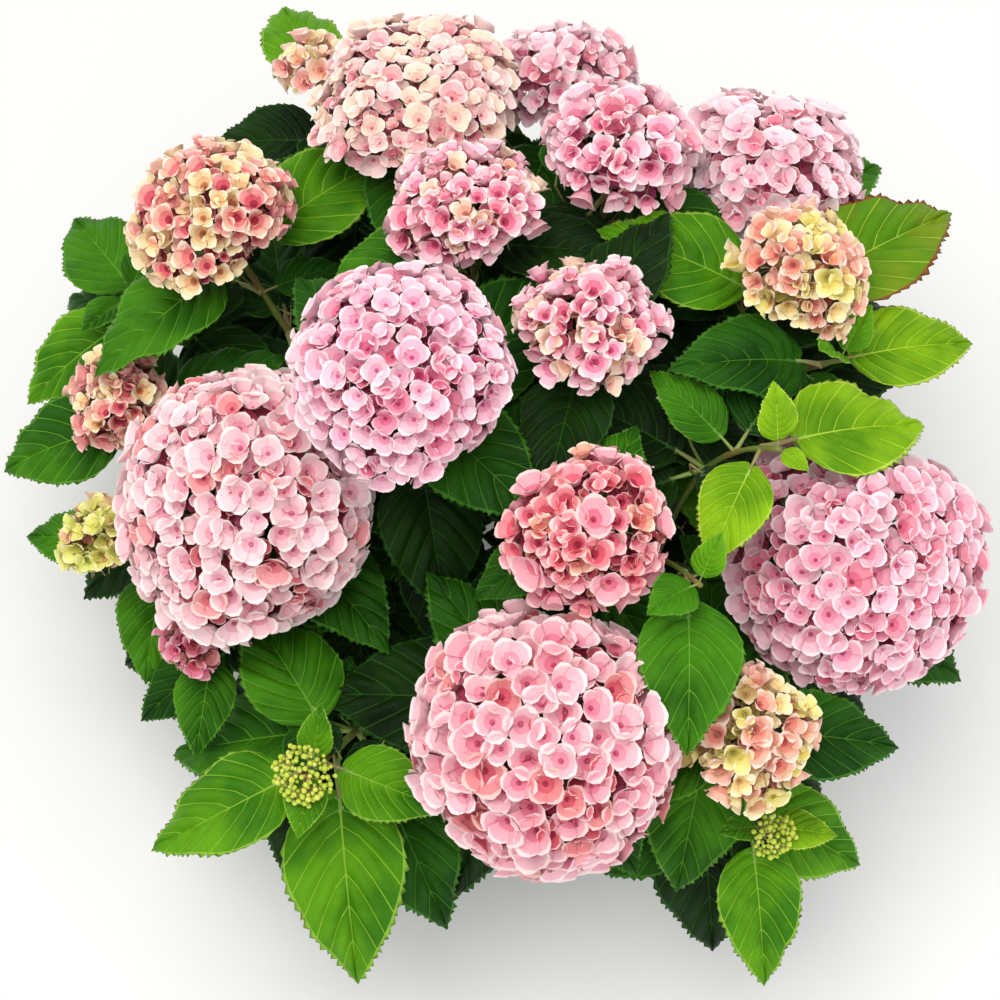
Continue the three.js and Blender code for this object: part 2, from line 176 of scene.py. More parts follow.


# The crown, by the same rule as the part's source. Heads and tips stand at "at", in millimetres. Each pair of
# turns is the bearings of one pair of leaves, from the top down, and each pair of sizes their shares of the
# usual length. lift is how much more steeply they rise, in degrees. petals names the colours of a head,
# floret is how large its florets are, and tones gives the greens of its leaves, a letter each, from the top.
# The tone letters d and k, deep and dark, are partly the leaves' own darker green and partly painted shade on
# leaves low in and inside the crown.
crown = {
    "front": [
        {"at": (33, -200, 362), "form": "open", "radius": 97, "turns": [(-53, 127), (172, 8), (-116, 64)],
         "pairs": 4, "petals": "rose", "floret": 1.08, "tones": "dd kd kk kk"},
        {"at": (20, -128, 190), "leaf": 0.9, "turns": [(-120, 60), (-25, 155)], "pairs": 3},
    ],
    "front_left": [
        {"at": (-143, -214, 330), "form": "bud", "radius": 22, "leaf": 1.08,
         "turns": [(80, -100), (-156, -22), (-84, 124), (178, -54)],
         "sizes": [(0.75, 0.75), (1, 0.74), (1.08, 0.86)], "pairs": 5, "tones": "ff ff fg gd kk"},
        {"at": (-165, -150, 185), "turns": [(-150, 20), (-95, 80)], "pairs": 3},
    ],
    "left": [
        {"at": (-194, -2, 346), "form": "open", "radius": 106, "turns": [(-53, 127), (-150, 30)], "pairs": 4,
         "petals": "blush", "tones": "dd dk kk kk"},
        {"at": (-242, -90, 268), "form": "young", "radius": 27, "leaf": 0.75,
         "turns": [(-95, 60), (-150, 40)], "pairs": 3, "petals": "shell"},
        {"at": (-236, -36, 172), "turns": [(-90, 80), (-172, 0)], "pairs": 3},
    ],
    "far_left": [
        {"at": (-314, 121, 283), "form": "young", "radius": 47, "turns": [(-168, 20), (130, -60)], "pairs": 4,
         "petals": "salmon", "tones": "gd dd kk kk"},
        {"at": (-321, -6, 282), "form": "young", "radius": 36, "leaf": 0.7, "turns": [(168, -12), (-100, 70)],
         "pairs": 3, "petals": "lime"},
    ],
    "rear_left": [
        {"at": (-230, 232, 380), "form": "young", "radius": 65, "leaf": 1.05,
         "turns": [(-136, 40), (150, 20), (100, -80)], "sizes": [(1.1, 1.08), (1, 0.45)], "pairs": 4,
         "petals": "salmon", "tones": "gf gd dd kk"},
        {"at": (-322, 232, 262), "turns": [(60, -120), (-141, 118), (150, -60)], "lift": 12, "pairs": 3,
         "tones": "gg fg dd"},
        {"at": (-190, 330, 200), "turns": [(40, -140), (120, -60)], "pairs": 3},
    ],
    "rear": [
        {"at": (-70, 338, 396), "form": "flat", "radius": 88, "turns": [(-100, 75), (165, -15)], "pairs": 4,
         "petals": "cream", "floret": 0.88, "tones": "dg dd kk kk"},
        {"at": (-159, 406, 352), "form": "young", "radius": 34, "leaf": 1.05,
         "turns": [(112, -67), (176, -5)], "sizes": [(1.1, 1), (0.75, 1)], "pairs": 3,
         "petals": "peach", "tones": "fd kd kk"},
        {"at": (-60, 360, 205), "turns": [(10, -170), (95, -80)], "pairs": 3},
    ],
    "back": [
        {"at": (-26, 203, 440), "form": "young", "radius": 59, "turns": [(-158, -12), (-100, 80)], "pairs": 4,
         "petals": "pink", "tones": "gk kk kk kk"},
        {"at": (55, 389, 348), "form": "young", "radius": 64, "turns": [(70, -110), (150, -20)], "pairs": 4,
         "petals": "sugar", "floret": 1.1, "tones": "gd dk kk kk"},
    ],
    "rear_right": [
        {"at": (93, 259, 436), "form": "young", "radius": 61, "turns": [(-55, -126), (30, 150)], "pairs": 4,
         "petals": "candy", "floret": 1.15, "tones": "dk kk kk kk"},
        {"at": (120, 340, 205), "turns": [(-10, 170), (75, -100)], "pairs": 3},
    ],
    "far_right": [
        {"at": (222, 278, 376), "form": "open", "radius": 78, "turns": [(20, -165), (-80, 100)],
         "sizes": [(1.15, 1)], "pairs": 4, "petals": "sugar", "floret": 0.9, "tones": "gk dk kk kk"},
        {"at": (255, 245, 205), "turns": [(-50, 130), (40, -140)], "pairs": 3},
    ],
    "right_rear": [
        {"at": (226, 144, 438), "form": "young", "radius": 53, "leaf": 1.1, "turns": [(28, 160), (-70, 110)],
         "sizes": [(1.22, 1)], "pairs": 4, "petals": "butter", "tones": "tf dd kk kk"},
        {"at": (262, 92, 400), "leaf": 1.05, "turns": [(-150, 60), (12, -160), (-60, 100)],
         "sizes": [(0.9, 0.7), (1, 1)], "lift": 22, "pairs": 4, "tones": "ff bd dd"},
    ],
    "right": [
        {"at": (267, -46, 329), "form": "open", "radius": 103, "leaf": 1.1, "turns": [(-26, 144), (-130, 50)],
         "sizes": [(1.12, 1)], "pairs": 4, "petals": "mauve", "floret": 0.95,
         "tones": "dg dk kk kk"},
        {"at": (275, 20, 195), "turns": [(90, -100), (5, -170)], "pairs": 3},
    ],
    "right_shoot": [
        {"at": (200, -12, 454), "leaf": 0.9, "turns": [(97, -40), (17, -119), (138, 60)],
         "sizes": [(0.9, 0.5), (1.28, 0.82), (0.66, 0.8)], "pairs": 4, "tones": "bb bb gd"},
        {"at": (141, -107, 430), "turns": [(60, -140), (-89, 122)], "sizes": [(0.7, 1), (1, 0.7)], "lift": 20,
         "pairs": 2, "tones": "fg gg"},
    ],
    "front_right": [
        {"at": (181, -197, 360), "form": "flat", "layers": "young", "radius": 50, "leaf": 0.93,
         "turns": [(0, -170), (-103, 77)], "sizes": [(1, 0.9)], "lift": -8, "pairs": 4, "petals": "butter",
         "tones": "dg gd kk kk"},
        {"at": (202, -248, 286), "form": "bud", "radius": 16, "leaf": 0.93,
         "turns": [(-24, -165), (-87, 80), (6, -165)], "sizes": [(1.05, 0.8), (1, 1), (0.85, 1)], "pairs": 4,
         "tones": "bf fg fd kk"},
    ],
    "centre_left": [
        {"at": (-72, 42, 470), "form": "open", "radius": 81, "turns": [(-48, 132), (50, -95), (-10, 180)],
         "pairs": 5, "petals": "lilac", "floret": 0.84, "tones": "dd dk kk kk kk"},
    ],
    "centre": [
        {"at": (66, 88, 458), "form": "young", "radius": 54, "turns": [(-115, 60), (-30, 150)], "pairs": 5,
         "petals": "pink", "tones": "kk kk kk kk kk"},
        {"at": (61, -72, 446), "form": "young", "radius": 57, "turns": [(-150, 62), (-58, 120)],
         "sizes": [(0.64, 0.68), (0.84, 1)], "pairs": 5, "layers": "mixed", "petals": "coral",
         "tones": "dg dd kk kk kk"},
    ],
}
innerMasses = ["centre_left", "centre", "right_shoot"]
leanCentre = (0, 130)
lean = {"flowering": 0.08, "mostFlowering": 32, "leafy": 0.2, "mostLeafy": 58}  # degrees per mm of reach
caneRule = {
    "joinGap": 0.3 * mm, "footRadius": 6.4 * mm, "tipRadius": 4.6 * mm, "bend": 0.42,
    "topHeight": 118 * mm, "topShare": 0.36, "stem": 20 * mm,
    "outer": {"reach": 28 * mm, "height": 36 * mm, "rise": 0.28},
    "inner": {"reach": 14 * mm, "height": 42 * mm, "rise": 0.5},
}
twigRule = {
    "outset": 0.3, "inset": 0.4, "rootRadius": 3.6 * mm, "tipRadius": 2.4 * mm,
    "sourceSteps": 5, "fineSteps": 60,  # how finely a twig bends in the source, and here
}
pairRule = {
    "spacing": 40 * mm, "growing": 7 * mm, "youngSpacing": 17 * mm, "youngGrowing": 13 * mm, "turn": 90,
    "jitter": 11, "aimedJitter": 3, "least": 0.1, "underHead": 17 * mm, "belowTip": 3 * mm,
}
bladeRule = {
    "length": 139 * mm, "perHeadRadius": 0.2, "lengthSpread": 0.07, "halfWidth": 0.265, "widthSpread": 0.02,
    "petiole": 0.16, "shares": (0.92, 1.06, 1.08, 1, 0.94), "youngShares": (0.46, 0.96, 1.1, 1.12, 1.04),
}
pitchRule = {
    "rise": 18, "perPair": -7, "youngRise": 48, "curl": 34, "youngCurl": 30, "jitter": 7, "withLean": 0.5,
}
headForms = {
    "open": {"depth": 0.86, "underside": 0.58}, "young": {"depth": 0.84, "underside": 0.55},
    "flat": {"depth": 0.6, "underside": 0.6}, "bud": {"depth": 0.55, "underside": 0.6},
}
swell = {"open": 0.02, "young": 0.03, "flat": 0.025, "bud": 0.02}  # the loose bumps of a head's skin
leafTries = [
    (0, 0, 1), (12, 0, 1), (-12, 0, 1), (0, -14, 1), (0, 12, 1), (24, -6, 0.95), (-24, -6, 0.95),
    (16, -20, 0.88), (-16, -20, 0.88), (0, -8, 0.74),
]
leafTest = {"along": (0.42, 0.73, 1), "within": (2.4 * mm, 2.4 * mm, 1 * mm)}  # where the solid is met


def seeded(seed):  # the source's own random numbers, from 0 to 1
    whole = 0xFFFFFFFF
    state = seed & whole

    def draw():
        nonlocal state
        state = (state + 0x6D2B79F5) & whole
        t = ((state ^ (state >> 15)) * (state | 1)) & whole
        t = ((t + (((t ^ (t >> 7)) * (t | 61)) & whole)) & whole) ^ t
        return (t ^ (t >> 14)) / 4294967296
    return draw


def middleOf(shoots):
    return np.mean([shoot["at"] for shoot in shoots], axis=0) * mm


def shootLean(shoot):
    x, y = shoot["at"][0] - leanCentre[0], shoot["at"][1] - leanCentre[1]
    kind = "flowering" if "form" in shoot else "leafy"
    most = lean["most" + kind.capitalize()]
    return min(math.hypot(x, y) * lean[kind], most), math.atan2(y, x) / degree


def shootAxis(shoot):
    tilt, bearing = shootLean(shoot)
    tilt, bearing = tilt * degree, bearing * degree
    return np.array([math.sin(tilt) * math.cos(bearing), math.sin(tilt) * math.sin(bearing), math.cos(tilt)])


def bezier(points, t):
    points = [np.asarray(p, float) for p in points]
    t = np.asarray(t, float)[..., None]
    while len(points) > 1:
        points = [a + (b - a) * t for a, b in zip(points, points[1:])]
    return points[0]


def caneLine(name, order, count):
    middle = middleOf(crown[name])
    start = caneRule["inner" if name in innerMasses else "outer"]
    turn = (order + 0.5) / count * 2 * math.pi - math.pi
    foot = np.array([start["reach"] * math.cos(turn), start["reach"] * math.sin(turn), start["height"]])
    top = np.array([*(middle[:2] * caneRule["topShare"]), caneRule["topHeight"]])
    bend = foot + (top - foot) * [caneRule["bend"], caneRule["bend"], start["rise"]]
    return [foot, bend, top]


def shootLine(fork, axis, shoot):
    tip = np.array(shoot["at"]) * mm
    span = np.linalg.norm(tip - fork)
    out, into = axis * span * twigRule["outset"], shootAxis(shoot) * span * twigRule["inset"]
    return [fork, fork + out, tip - into, tip]


def alongLine(points, share):  # the point at that share of a polyline's length
    steps = np.linalg.norm(np.diff(points, axis=0), axis=1)
    reached = np.concatenate([[0], np.cumsum(steps)])
    return np.array([np.interp(share * reached[-1], reached, points[:, i]) for i in range(3)])


def leavesOf(shoot, line, number):
    wanted = []
    young = shoot.get("form") in (None, "bud")
    shares = bladeRule["youngShares" if young else "shares"]
    tilt, bearing = shootLean(shoot)
    last = len(shoot["turns"]) - 1
    spacing, growing = ("youngSpacing", "youngGrowing") if young else ("spacing", "growing")
    form = headForms.get(shoot.get("form"))
    radius = shoot.get("radius", 0) * mm
    coarse = bezier(line, np.linspace(0, 1, twigRule["sourceSteps"] + 1))
    fine = bezier(line, np.linspace(0, 1, twigRule["fineSteps"] + 1))
    length = np.linalg.norm(np.diff(coarse, axis=0), axis=1).sum()
    down = pairRule["belowTip"]
    if form:
        down = radius * form["depth"] * form["underside"] + pairRule["underHead"]
    for pair in range(shoot["pairs"]):
        along = 1 - down / length
        if along < pairRule["least"]:
            break
        for side in range(2):
            draw = seeded(1000 * number + 10 * pair + side + 1)
            jitter = pairRule["jitter" if pair > last else "aimedJitter"]
            aim = shoot["turns"][min(pair, last)][side] + pairRule["turn"] * max(pair - last, 0)
            turn = aim + (2 * draw() - 1) * jitter
            spread = 1 + (2 * draw() - 1) * bladeRule["lengthSpread"]
            full = (bladeRule["length"] + bladeRule["perHeadRadius"] * radius) * shoot.get("leaf", 1)
            told = shoot.get("sizes", ())
            size = full * shares[pair] * (told[pair][side] if pair < len(told) else 1) * spread
            half = (bladeRule["halfWidth"] + (2 * draw() - 1) * bladeRule["widthSpread"]) * size
            smallest = young and pair == 0
            usual = pitchRule["rise"] + pitchRule["perPair"] * pair + shoot.get("lift", 0)
            rise = pitchRule["youngRise"] if smallest else usual
            start = rise - pitchRule["withLean"] * tilt * math.cos((turn - bearing) * degree)
            curl = pitchRule["youngCurl" if smallest else "curl"]
            end = start - curl + (2 * draw() - 1) * pitchRule["jitter"]
            wanted.append({
                "pair": pair, "side": side, "rootInSource": alongLine(coarse, along),
                "root": alongLine(fine, along), "turn": turn, "length": size, "half": half, "start": start,
                "end": end, "number": number, "along": along, "shoot": shoot,
            })
        down += pairRule[spacing] + pairRule[growing] * pair
    return wanted


def arc(leaf, root, along):  # places on a leaf's midrib, with the way it heads there and the way up from it
    turn, start, end = leaf["turn"] * degree, leaf["start"] * degree, leaf["end"] * degree
    bending = (end - start) / leaf["length"]
    angle = start + bending * np.asarray(along, float)
    heading = np.array([math.cos(turn), math.sin(turn), 0])
    onward, upward = (np.sin(angle) - math.sin(start)) / bending, (math.cos(start) - np.cos(angle)) / bending
    spots = root + heading * onward[..., None] + up * upward[..., None]
    forward = heading * np.cos(angle)[..., None] + up * np.sin(angle)[..., None]
    above = -heading * np.sin(angle)[..., None] + up * np.cos(angle)[..., None]
    return spots, forward, above


def tried(leaf, attempt):
    turned, tipped, shorter = attempt
    return {
        **leaf, "turn": leaf["turn"] + turned, "start": leaf["start"] + tipped, "end": leaf["end"] + tipped,
        "length": leaf["length"] * shorter, "half": leaf["half"] * shorter,
    }


def keptLeaf(leaf, mass):  # the try that the mass's own solid has a leaf at, or None where it was left out
    for attempt in leafTries:
        candidate = tried(leaf, attempt)
        spots, _, _ = arc(candidate, leaf["rootInSource"], np.array(leafTest["along"]) * candidate["length"])
        away = [mass.find_nearest(Vector(spot))[3] for spot in spots]
        if all(gap < most for gap, most in zip(away, leafTest["within"])):
            return candidate
    return None


# Meshes from arrays. A face is four corners, the last of them -1 in a triangle.
def newMesh(name, places, faces, slots, materials):
    places, faces, slots = np.asarray(places, np.float32), np.asarray(faces, np.int32), np.asarray(slots)
    corners = faces >= 0
    used, slots = np.unique(slots, return_inverse=True)
    mesh = bpy.data.meshes.new(name)
    mesh.vertices.add(len(places))
    mesh.vertices.foreach_set("co", places.ravel())
    mesh.loops.add(int(corners.sum()))
    mesh.loops.foreach_set("vertex_index", faces[corners])
    mesh.polygons.add(len(faces))
    starts = np.concatenate([[0], np.cumsum(corners.sum(1))[:-1]])
    mesh.polygons.foreach_set("loop_start", starts.astype(np.int32))
    mesh.polygons.foreach_set("material_index", slots.astype(np.int32))
    mesh.polygons.foreach_set("use_smooth", np.ones(len(faces), bool))
    for index in used:
        mesh.materials.append(materials[index])
    mesh.update(calc_edges=True)
    return mesh


def newPiece(name, mesh):
    piece = bpy.data.objects.new(name, mesh)
    bpy.context.scene.collection.objects.link(piece)
    return piece


def joined(parts):  # [(places, faces, slots), ...] as one
    places, faces, slots, count = [], [], [], 0
    for spots, corners, slot in parts:
        corners = np.asarray(corners, np.int32)
        places.append(spots)
        faces.append(np.where(corners >= 0, corners + count, -1))
        slots.append(np.broadcast_to(slot, len(corners)))
        count += len(spots)
    return np.concatenate(places), np.concatenate(faces), np.concatenate(slots)


def band(start, count, rises):  # the faces of a tube, from its first ring up
    a = start + np.arange(count)
    b = start + (np.arange(count) + 1) % count
    return [np.stack([a + r * count, b + r * count, b + (r + 1) * count, a + (r + 1) * count], 1)
            for r in range(rises)]


def fan(start, count, middle, below):  # the faces that close a ring to its middle
    a = start + np.arange(count)
    b = start + (np.arange(count) + 1) % count
    pair = [b, a] if below else [a, b]
    return np.stack([*pair, np.full(count, middle), np.full(count, -1)], 1)


ridges = {"kept": 0.75, "new": 0.66}  # how far a ridge of bark runs on from ring to ring


def tube(points, radii, sides, slot, rough=0.0, seed=0):
    points, radii = np.asarray(points, float), np.asarray(radii, float)
    ways = np.gradient(points, axis=0)
    ways /= np.linalg.norm(ways, axis=1)[:, None]
    side = np.cross(ways[0], [0.3, 1, 0.2])
    turns = np.arange(sides) * 2 * math.pi / sides
    cosines, sines, rings = np.cos(turns), np.sin(turns), []
    random = np.random.default_rng(seed)
    uneven = random.normal(0, 1, sides)
    for i, (spot, way) in enumerate(zip(points, ways)):
        side = side - way * (side @ way)
        side = side / np.linalg.norm(side)
        other = np.cross(way, side)
        uneven = ridges["kept"] * uneven + ridges["new"] * random.normal(0, 1, sides)
        around = radii[i] * (1 + rough * uneven)
        rings.append(spot + (cosines * around)[:, None] * side + (sines * around)[:, None] * other)
    places = np.concatenate(rings + [points[:1], points[-1:]])
    steps, first = len(points) - 1, len(points) * sides
    faces = band(0, sides, steps) + [fan(0, sides, first, True), fan(steps * sides, sides, first + 1, False)]
    return places, np.concatenate(faces), slot


# Leaves. One template holds the faces of a blade: lines run out from the midrib along the side veins, and the
# cushions between the veins stand up a little. Its underside is coarser and shares the toothed edge. Sizes
# are shares of the leaf's length or half width, and roll and twist are in degrees.
leafShape = {
    "veins": 7, "firstVein": 0.08, "lastVein": 0.84, "veinWidth": 0.0065, "linesBetween": 5,
    "columns": (0.3, 0.58, 0.8, 0.97), "underColumn": 0.55,
    "baseLines": 3, "base": 0.012, "baseShare": 0.3, "lastLine": 0.985,
    "sweepIn": 0.17, "sweepOut": 0.17, "sweepBend": 0.7, "sweepCurve": 1.5, "roundBase": 0.62, "tip": 1.15,
    "tooth": 0.0155, "toothLean": 0.015, "toothSizes": (0.35, 1.3), "toothFade": 3,
    "midrib": 0.0055, "midribTaper": 0.72, "sink": 0.006, "thickness": 0.004,
    "fold": 0.3, "arch": 0.2, "flex": (0.75, 1.3), "cushion": 0.034, "cushionRound": 0.8,
    "wave": 0.07, "waves": (2.2, 3.6), "phases": (0, 6.28), "roll": 4.5, "twist": 7, "stray": 0.022,
}
bladePart, veinPart, edgePart, underPart = range(4)


def leafTemplate(detail):
    shape = {**leafShape, **detail}
    veins = np.linspace(shape["firstVein"], shape["lastVein"], shape["veins"])
    half = shape["veinWidth"] / 2
    base, between = shape["baseLines"], shape["linesBetween"]
    shares = np.linspace(shape["baseShare"], 1, base)
    lines = list(zip(np.linspace(shape["base"], veins[0] - half, base), shares))
    for vein, end in zip(veins, [*(veins[1:] - half), shape["lastLine"]]):
        lines += zip(np.linspace(vein + half, end, between), np.linspace(0, 1, between))
    lines = np.array(lines)
    columns = np.array([0, *shape["columns"], 1])
    across = np.concatenate([-columns[::-1], columns])  # the two zeros are the edges of the midrib
    below = np.array([-shape["underColumn"], 0, 0, shape["underColumn"]])
    rows, width, lower = len(lines), len(across), len(below)
    spots = []  # along, share in the cushion, across, which edge of the midrib, line, underside
    for index, (along, share) in enumerate(lines):
        sides = np.sign(np.arange(width) - (width - 1) / 2)
        spots += [(along, share, v, s, index, 0) for v, s in zip(across, sides)]
    for index, (along, share) in enumerate(lines):
        spots += [(along, share, v, s, index, 1) for v, s in zip(below, (-1, -1, 1, 1))]
    spots.append((1, 0, 0, 0, rows, 0))
    tip = len(spots) - 1
    faces, slots = [], []
    veinStrip = {i for i in range(rows - 1) if lines[i, 1] == 1}
    middle = width // 2 - 1
    under = rows * width
    for i in range(rows - 1):
        for c in range(width - 1):
            a = i * width + c
            faces.append((a, a + width, a + width + 1, a + 1))
            if c == middle:
                slots.append(veinPart)
            elif c in (0, width - 2):
                slots.append(edgePart)
            else:
                slots.append(veinPart if i in veinStrip else bladePart)
        row = [[r * width] + [under + r * lower + k for k in range(lower)] + [r * width + width - 1]
               for r in (i, i + 1)]
        for c in range(lower + 1):
            faces.append((row[0][c], row[0][c + 1], row[1][c + 1], row[1][c]))
            slots.append(veinPart if c == 2 else underPart)
    end = rows - 1
    for c in range(width - 1):
        faces.append((end * width + c, tip, end * width + c + 1, -1))
        slots.append(edgePart if c in (0, width - 2) else bladePart)
    row = [end * width] + [under + end * lower + k for k in range(lower)] + [end * width + width - 1]
    for c in range(lower + 1):
        faces.append((row[c], row[c + 1], tip, -1))
        slots.append(underPart)
    return np.array(spots), np.array(faces), np.array(slots)


fullLeaf = leafTemplate({})
sideLeaf = leafTemplate({"veins": 5, "linesBetween": 3, "columns": (0.6, 0.94), "baseLines": 2})


def outlineWidth(t):
    shape = leafShape
    peak = shape["roundBase"] / (shape["roundBase"] + shape["tip"])
    most = peak ** shape["roundBase"] * (1 - peak) ** shape["tip"]
    return np.clip(t, 0, 1) ** shape["roundBase"] * (1 - np.clip(t, 0, 1)) ** shape["tip"] / most


def leafMesh(leaf, seed):
    shape = leafShape
    spots, faces, slots = sideLeaf if "tone" in leaf else fullLeaf
    random = np.random.default_rng(seed)
    line, share, across, edge, index, under = spots.T
    aside = np.abs(across)
    hump = np.sin(np.pi * line)
    inner = line - shape["sweepIn"] * hump
    outer = line + shape["sweepOut"] * np.sin(np.pi * line ** shape["sweepBend"])
    t = inner + (outer - inner) * aside ** shape["sweepCurve"]
    half = outlineWidth(outer) * leaf["half"]
    bites = random.uniform(*shape["toothSizes"], (2, len(spots)))[(across > 0) * 1, index.astype(int)]
    tooth = (aside == 1) * (index % 2 == 1) * np.clip(hump * shape["toothFade"], 0, 1) * bites
    size = leaf["length"]
    sideways = across * half + np.sign(across) * tooth * shape["tooth"] * size
    midrib = edge * shape["midrib"] * size * (1 - shape["midribTaper"] * line)
    sideways = np.where(aside == 0, midrib, sideways)
    sideways = np.where(aside > 0, np.sign(sideways) * np.maximum(np.abs(sideways), np.abs(midrib)), sideways)
    t = np.clip(t + tooth * shape["toothLean"], 0, 1)
    flex = random.uniform(*shape["flex"])
    lift = leaf["half"] * outlineWidth(t) * aside * (shape["fold"] - shape["arch"] * aside) * flex
    soft = shape["cushionRound"]
    cushion = np.sin(np.pi * share) ** soft * np.sin(np.pi * np.clip(aside, 0, 1) ** soft)
    lift = lift + cushion * shape["cushion"] * size * (1 - under)
    waves = random.uniform(*shape["waves"])
    phase = random.uniform(*shape["phases"], 2)
    wave = np.sin(2 * np.pi * waves * line + np.where(across > 0, phase[0], phase[1]))
    lift = lift + wave * shape["wave"] * leaf["half"] * aside ** 2 * hump
    lift = lift - (aside == 0) * (1 - under) * shape["sink"] * size * (1 - line)
    lift = lift - under * shape["thickness"] * size
    roll = random.normal(0, shape["roll"]) * degree + random.normal(0, shape["twist"]) * degree * t
    sideways = sideways + random.normal(0, shape["stray"]) * size * t ** 2
    petiole = bladeRule["petiole"]
    middle, forward, above = arc(leaf, leaf["root"], (petiole + (1 - petiole) * t) * size)
    side = np.cross(forward, above)
    offset = sideways * np.cos(roll) + lift * np.sin(roll)
    raised = lift * np.cos(roll) - sideways * np.sin(roll)
    # across grows towards the right of the heading, so the faces above turn clockwise and are turned over
    return middle + side * offset[:, None] + above * raised[:, None], faces[:, ::-1], slots


def turnedOver(faces):  # a reversed face with its missing corner put last again
    short = faces[:, 0] < 0
    faces = faces.copy()
    faces[short] = np.roll(faces[short], -1, axis=1)
    return faces


# Tones of leaf: blade (two greens in soft patches, partly the leaf's own mottling, the lighter green partly a
# painted highlight), veins, edge and underside.
leafTones = {
    "bright": ("#5C9106", "#8EBE12", "#AED03A", "#B6D64A", "#8CB060"),
    "fresh": ("#3A7A08", "#62A20E", "#8CBC34", "#8CBC3C", "#83A866"),
    "green": ("#265E05", "#44860B", "#66A22C", "#5A9626", "#769B5E"),
    # deep and dark: partly the leaves' own darker green, partly painted shade for leaves low in and inside
    # the crown
    "deep": ("#144005", "#275E08", "#487F22", "#3C751C", "#5F824C"),
    "darkAndShade": ("#092305", "#153806", "#2A5812", "#234F12", "#48683E"),
    "tinged": ("#588E0C", "#7C961A", "#A4C240", "#8E5A2A", "#7C8E5E"),
}
toneNames = list(leafTones)
leafMaterials = []
for toneName, (blade, bladeMottleAndHighlight, vein, edge, under) in leafTones.items():
    leafMaterials += [
        finish("leaf_" + toneName, blade, bladeMottleAndHighlight, roughness=0.46, cells=430, relief=0.00025, gloss=0.13),
        finish("vein_" + toneName, vein, roughness=0.55, gloss=0.15),
        finish("edge_" + toneName, edge, roughness=0.55, gloss=0.15),
        finish("under_" + toneName, under, roughness=0.65, grain=500, relief=0.0003, gloss=0.2),
    ]
stalkSlot = len(leafMaterials)
leafMaterials.append(finish("leaf_stalk", "#8FAE58", "#A08A5C", patch=30, roughness=0.5))


toneLetters = {"b": "bright", "f": "fresh", "g": "green", "d": "deep", "k": "darkAndShade", "t": "tinged"}
# lower pairs take darker tones, and a share of leaves one step further down: partly painted shade deep in the
# crown
toneRule = {
    "flowering": ("green", "green", "deep", "darkAndShade", "darkAndShade", "darkAndShade"),
    "leafy": ("deep", "darkAndShade", "darkAndShade", "darkAndShade", "darkAndShade", "darkAndShade"), "fresh": 0.3, "darkerForShade": 0.3,
}


def toneOf(leaf, random):  # as the shoot's tones say, and below them darker by depth, partly as painted shade
    if "tone" in leaf:
        return leaf["tone"]
    shoot, pair = leaf["shoot"], leaf["pair"]
    told = shoot.get("tones", "").split()
    if pair < len(told):
        return toneLetters[told[pair][leaf["side"]]]
    ladder = toneRule["flowering" if "form" in shoot else "leafy"]
    if pair == 0 and "form" in shoot and random.random() < toneRule["fresh"]:
        return "fresh"
    return ladder[min(pair + int(random.random() < toneRule["darkerForShade"]), len(ladder) - 1)]


petioleRule = {  # shares of the leaf's length
    "past": 0.04, "root": 0.0175, "taper": 0.007, "foot": 0.006, "footFade": 8,
    "full": {"rings": 6, "sides": 6}, "small": {"rings": 3, "sides": 4},
}


def petiole(leaf):
    rule = petioleRule
    detail = rule["small" if "tone" in leaf else "full"]
    share = np.linspace(0, 1, detail["rings"])
    spots, _, _ = arc(leaf, leaf["root"], share * (bladeRule["petiole"] + rule["past"]) * leaf["length"])
    thick = rule["root"] - rule["taper"] * share + rule["foot"] * np.exp(-share * rule["footFade"])
    return tube(spots, thick * leaf["length"], detail["sides"], stalkSlot)


def leafSeed(leaf):  # every leaf has random numbers of its own
    return 97 * leaf["number"] + 13 * leaf["pair"] + leaf["side"]


def leavesPiece(name, leaves):
    parts = []
    for leaf in leaves:
        tone = toneNames.index(toneOf(leaf, np.random.default_rng(leafSeed(leaf) + 5)))
        places, faces, slots = leafMesh(leaf, leafSeed(leaf))
        parts.append((places, turnedOver(faces), slots + 4 * tone))
        parts.append(petiole(leaf))
    return newPiece(name, newMesh(name, *joined(parts), leafMaterials))


# Wood: the stool, the canes with their bark, and the green twigs.
stoolRule = {
    "height": 48 * mm, "radius": 54 * mm, "lobes": 7, "lobeDepth": 3 * mm, "rings": 44, "around": 168,
    "profile": ((1, 0), (0.9, 0.18), (0.67, 0.55), (0.56, 0.88), (0.39, 1)), "crown": 0.985,
    "furrows": {"count": 17, "sway": 1.7, "swayCount": 5, "climb": 30, "soft": 0.6, "depth": 2.4 * mm},
    "flakes": {"count": 41, "sway": 9, "swayClimb": 150, "climb": 260, "wind": 3, "depth": 0.525 * mm},
}
barkMaterials = [
    finish("bark", "#8A7358", "#5E4A38", patch=70, roughness=0.85, grain=190, relief=0.0016),
    finish("young_bark", "#8C8252", "#7A5C40", patch=55, roughness=0.7, grain=240, relief=0.0006),
    finish("green_twig", "#6F8F3E", "#85773F", patch=35, roughness=0.5, grain=420, relief=0.0003),
    finish("flower_stalk", "#B4B67A", "#C08A78", patch=40, roughness=0.5, grain=420, relief=0.0002),
]
barkSlot, youngSlot, twigSlot, flowerSlot = range(4)


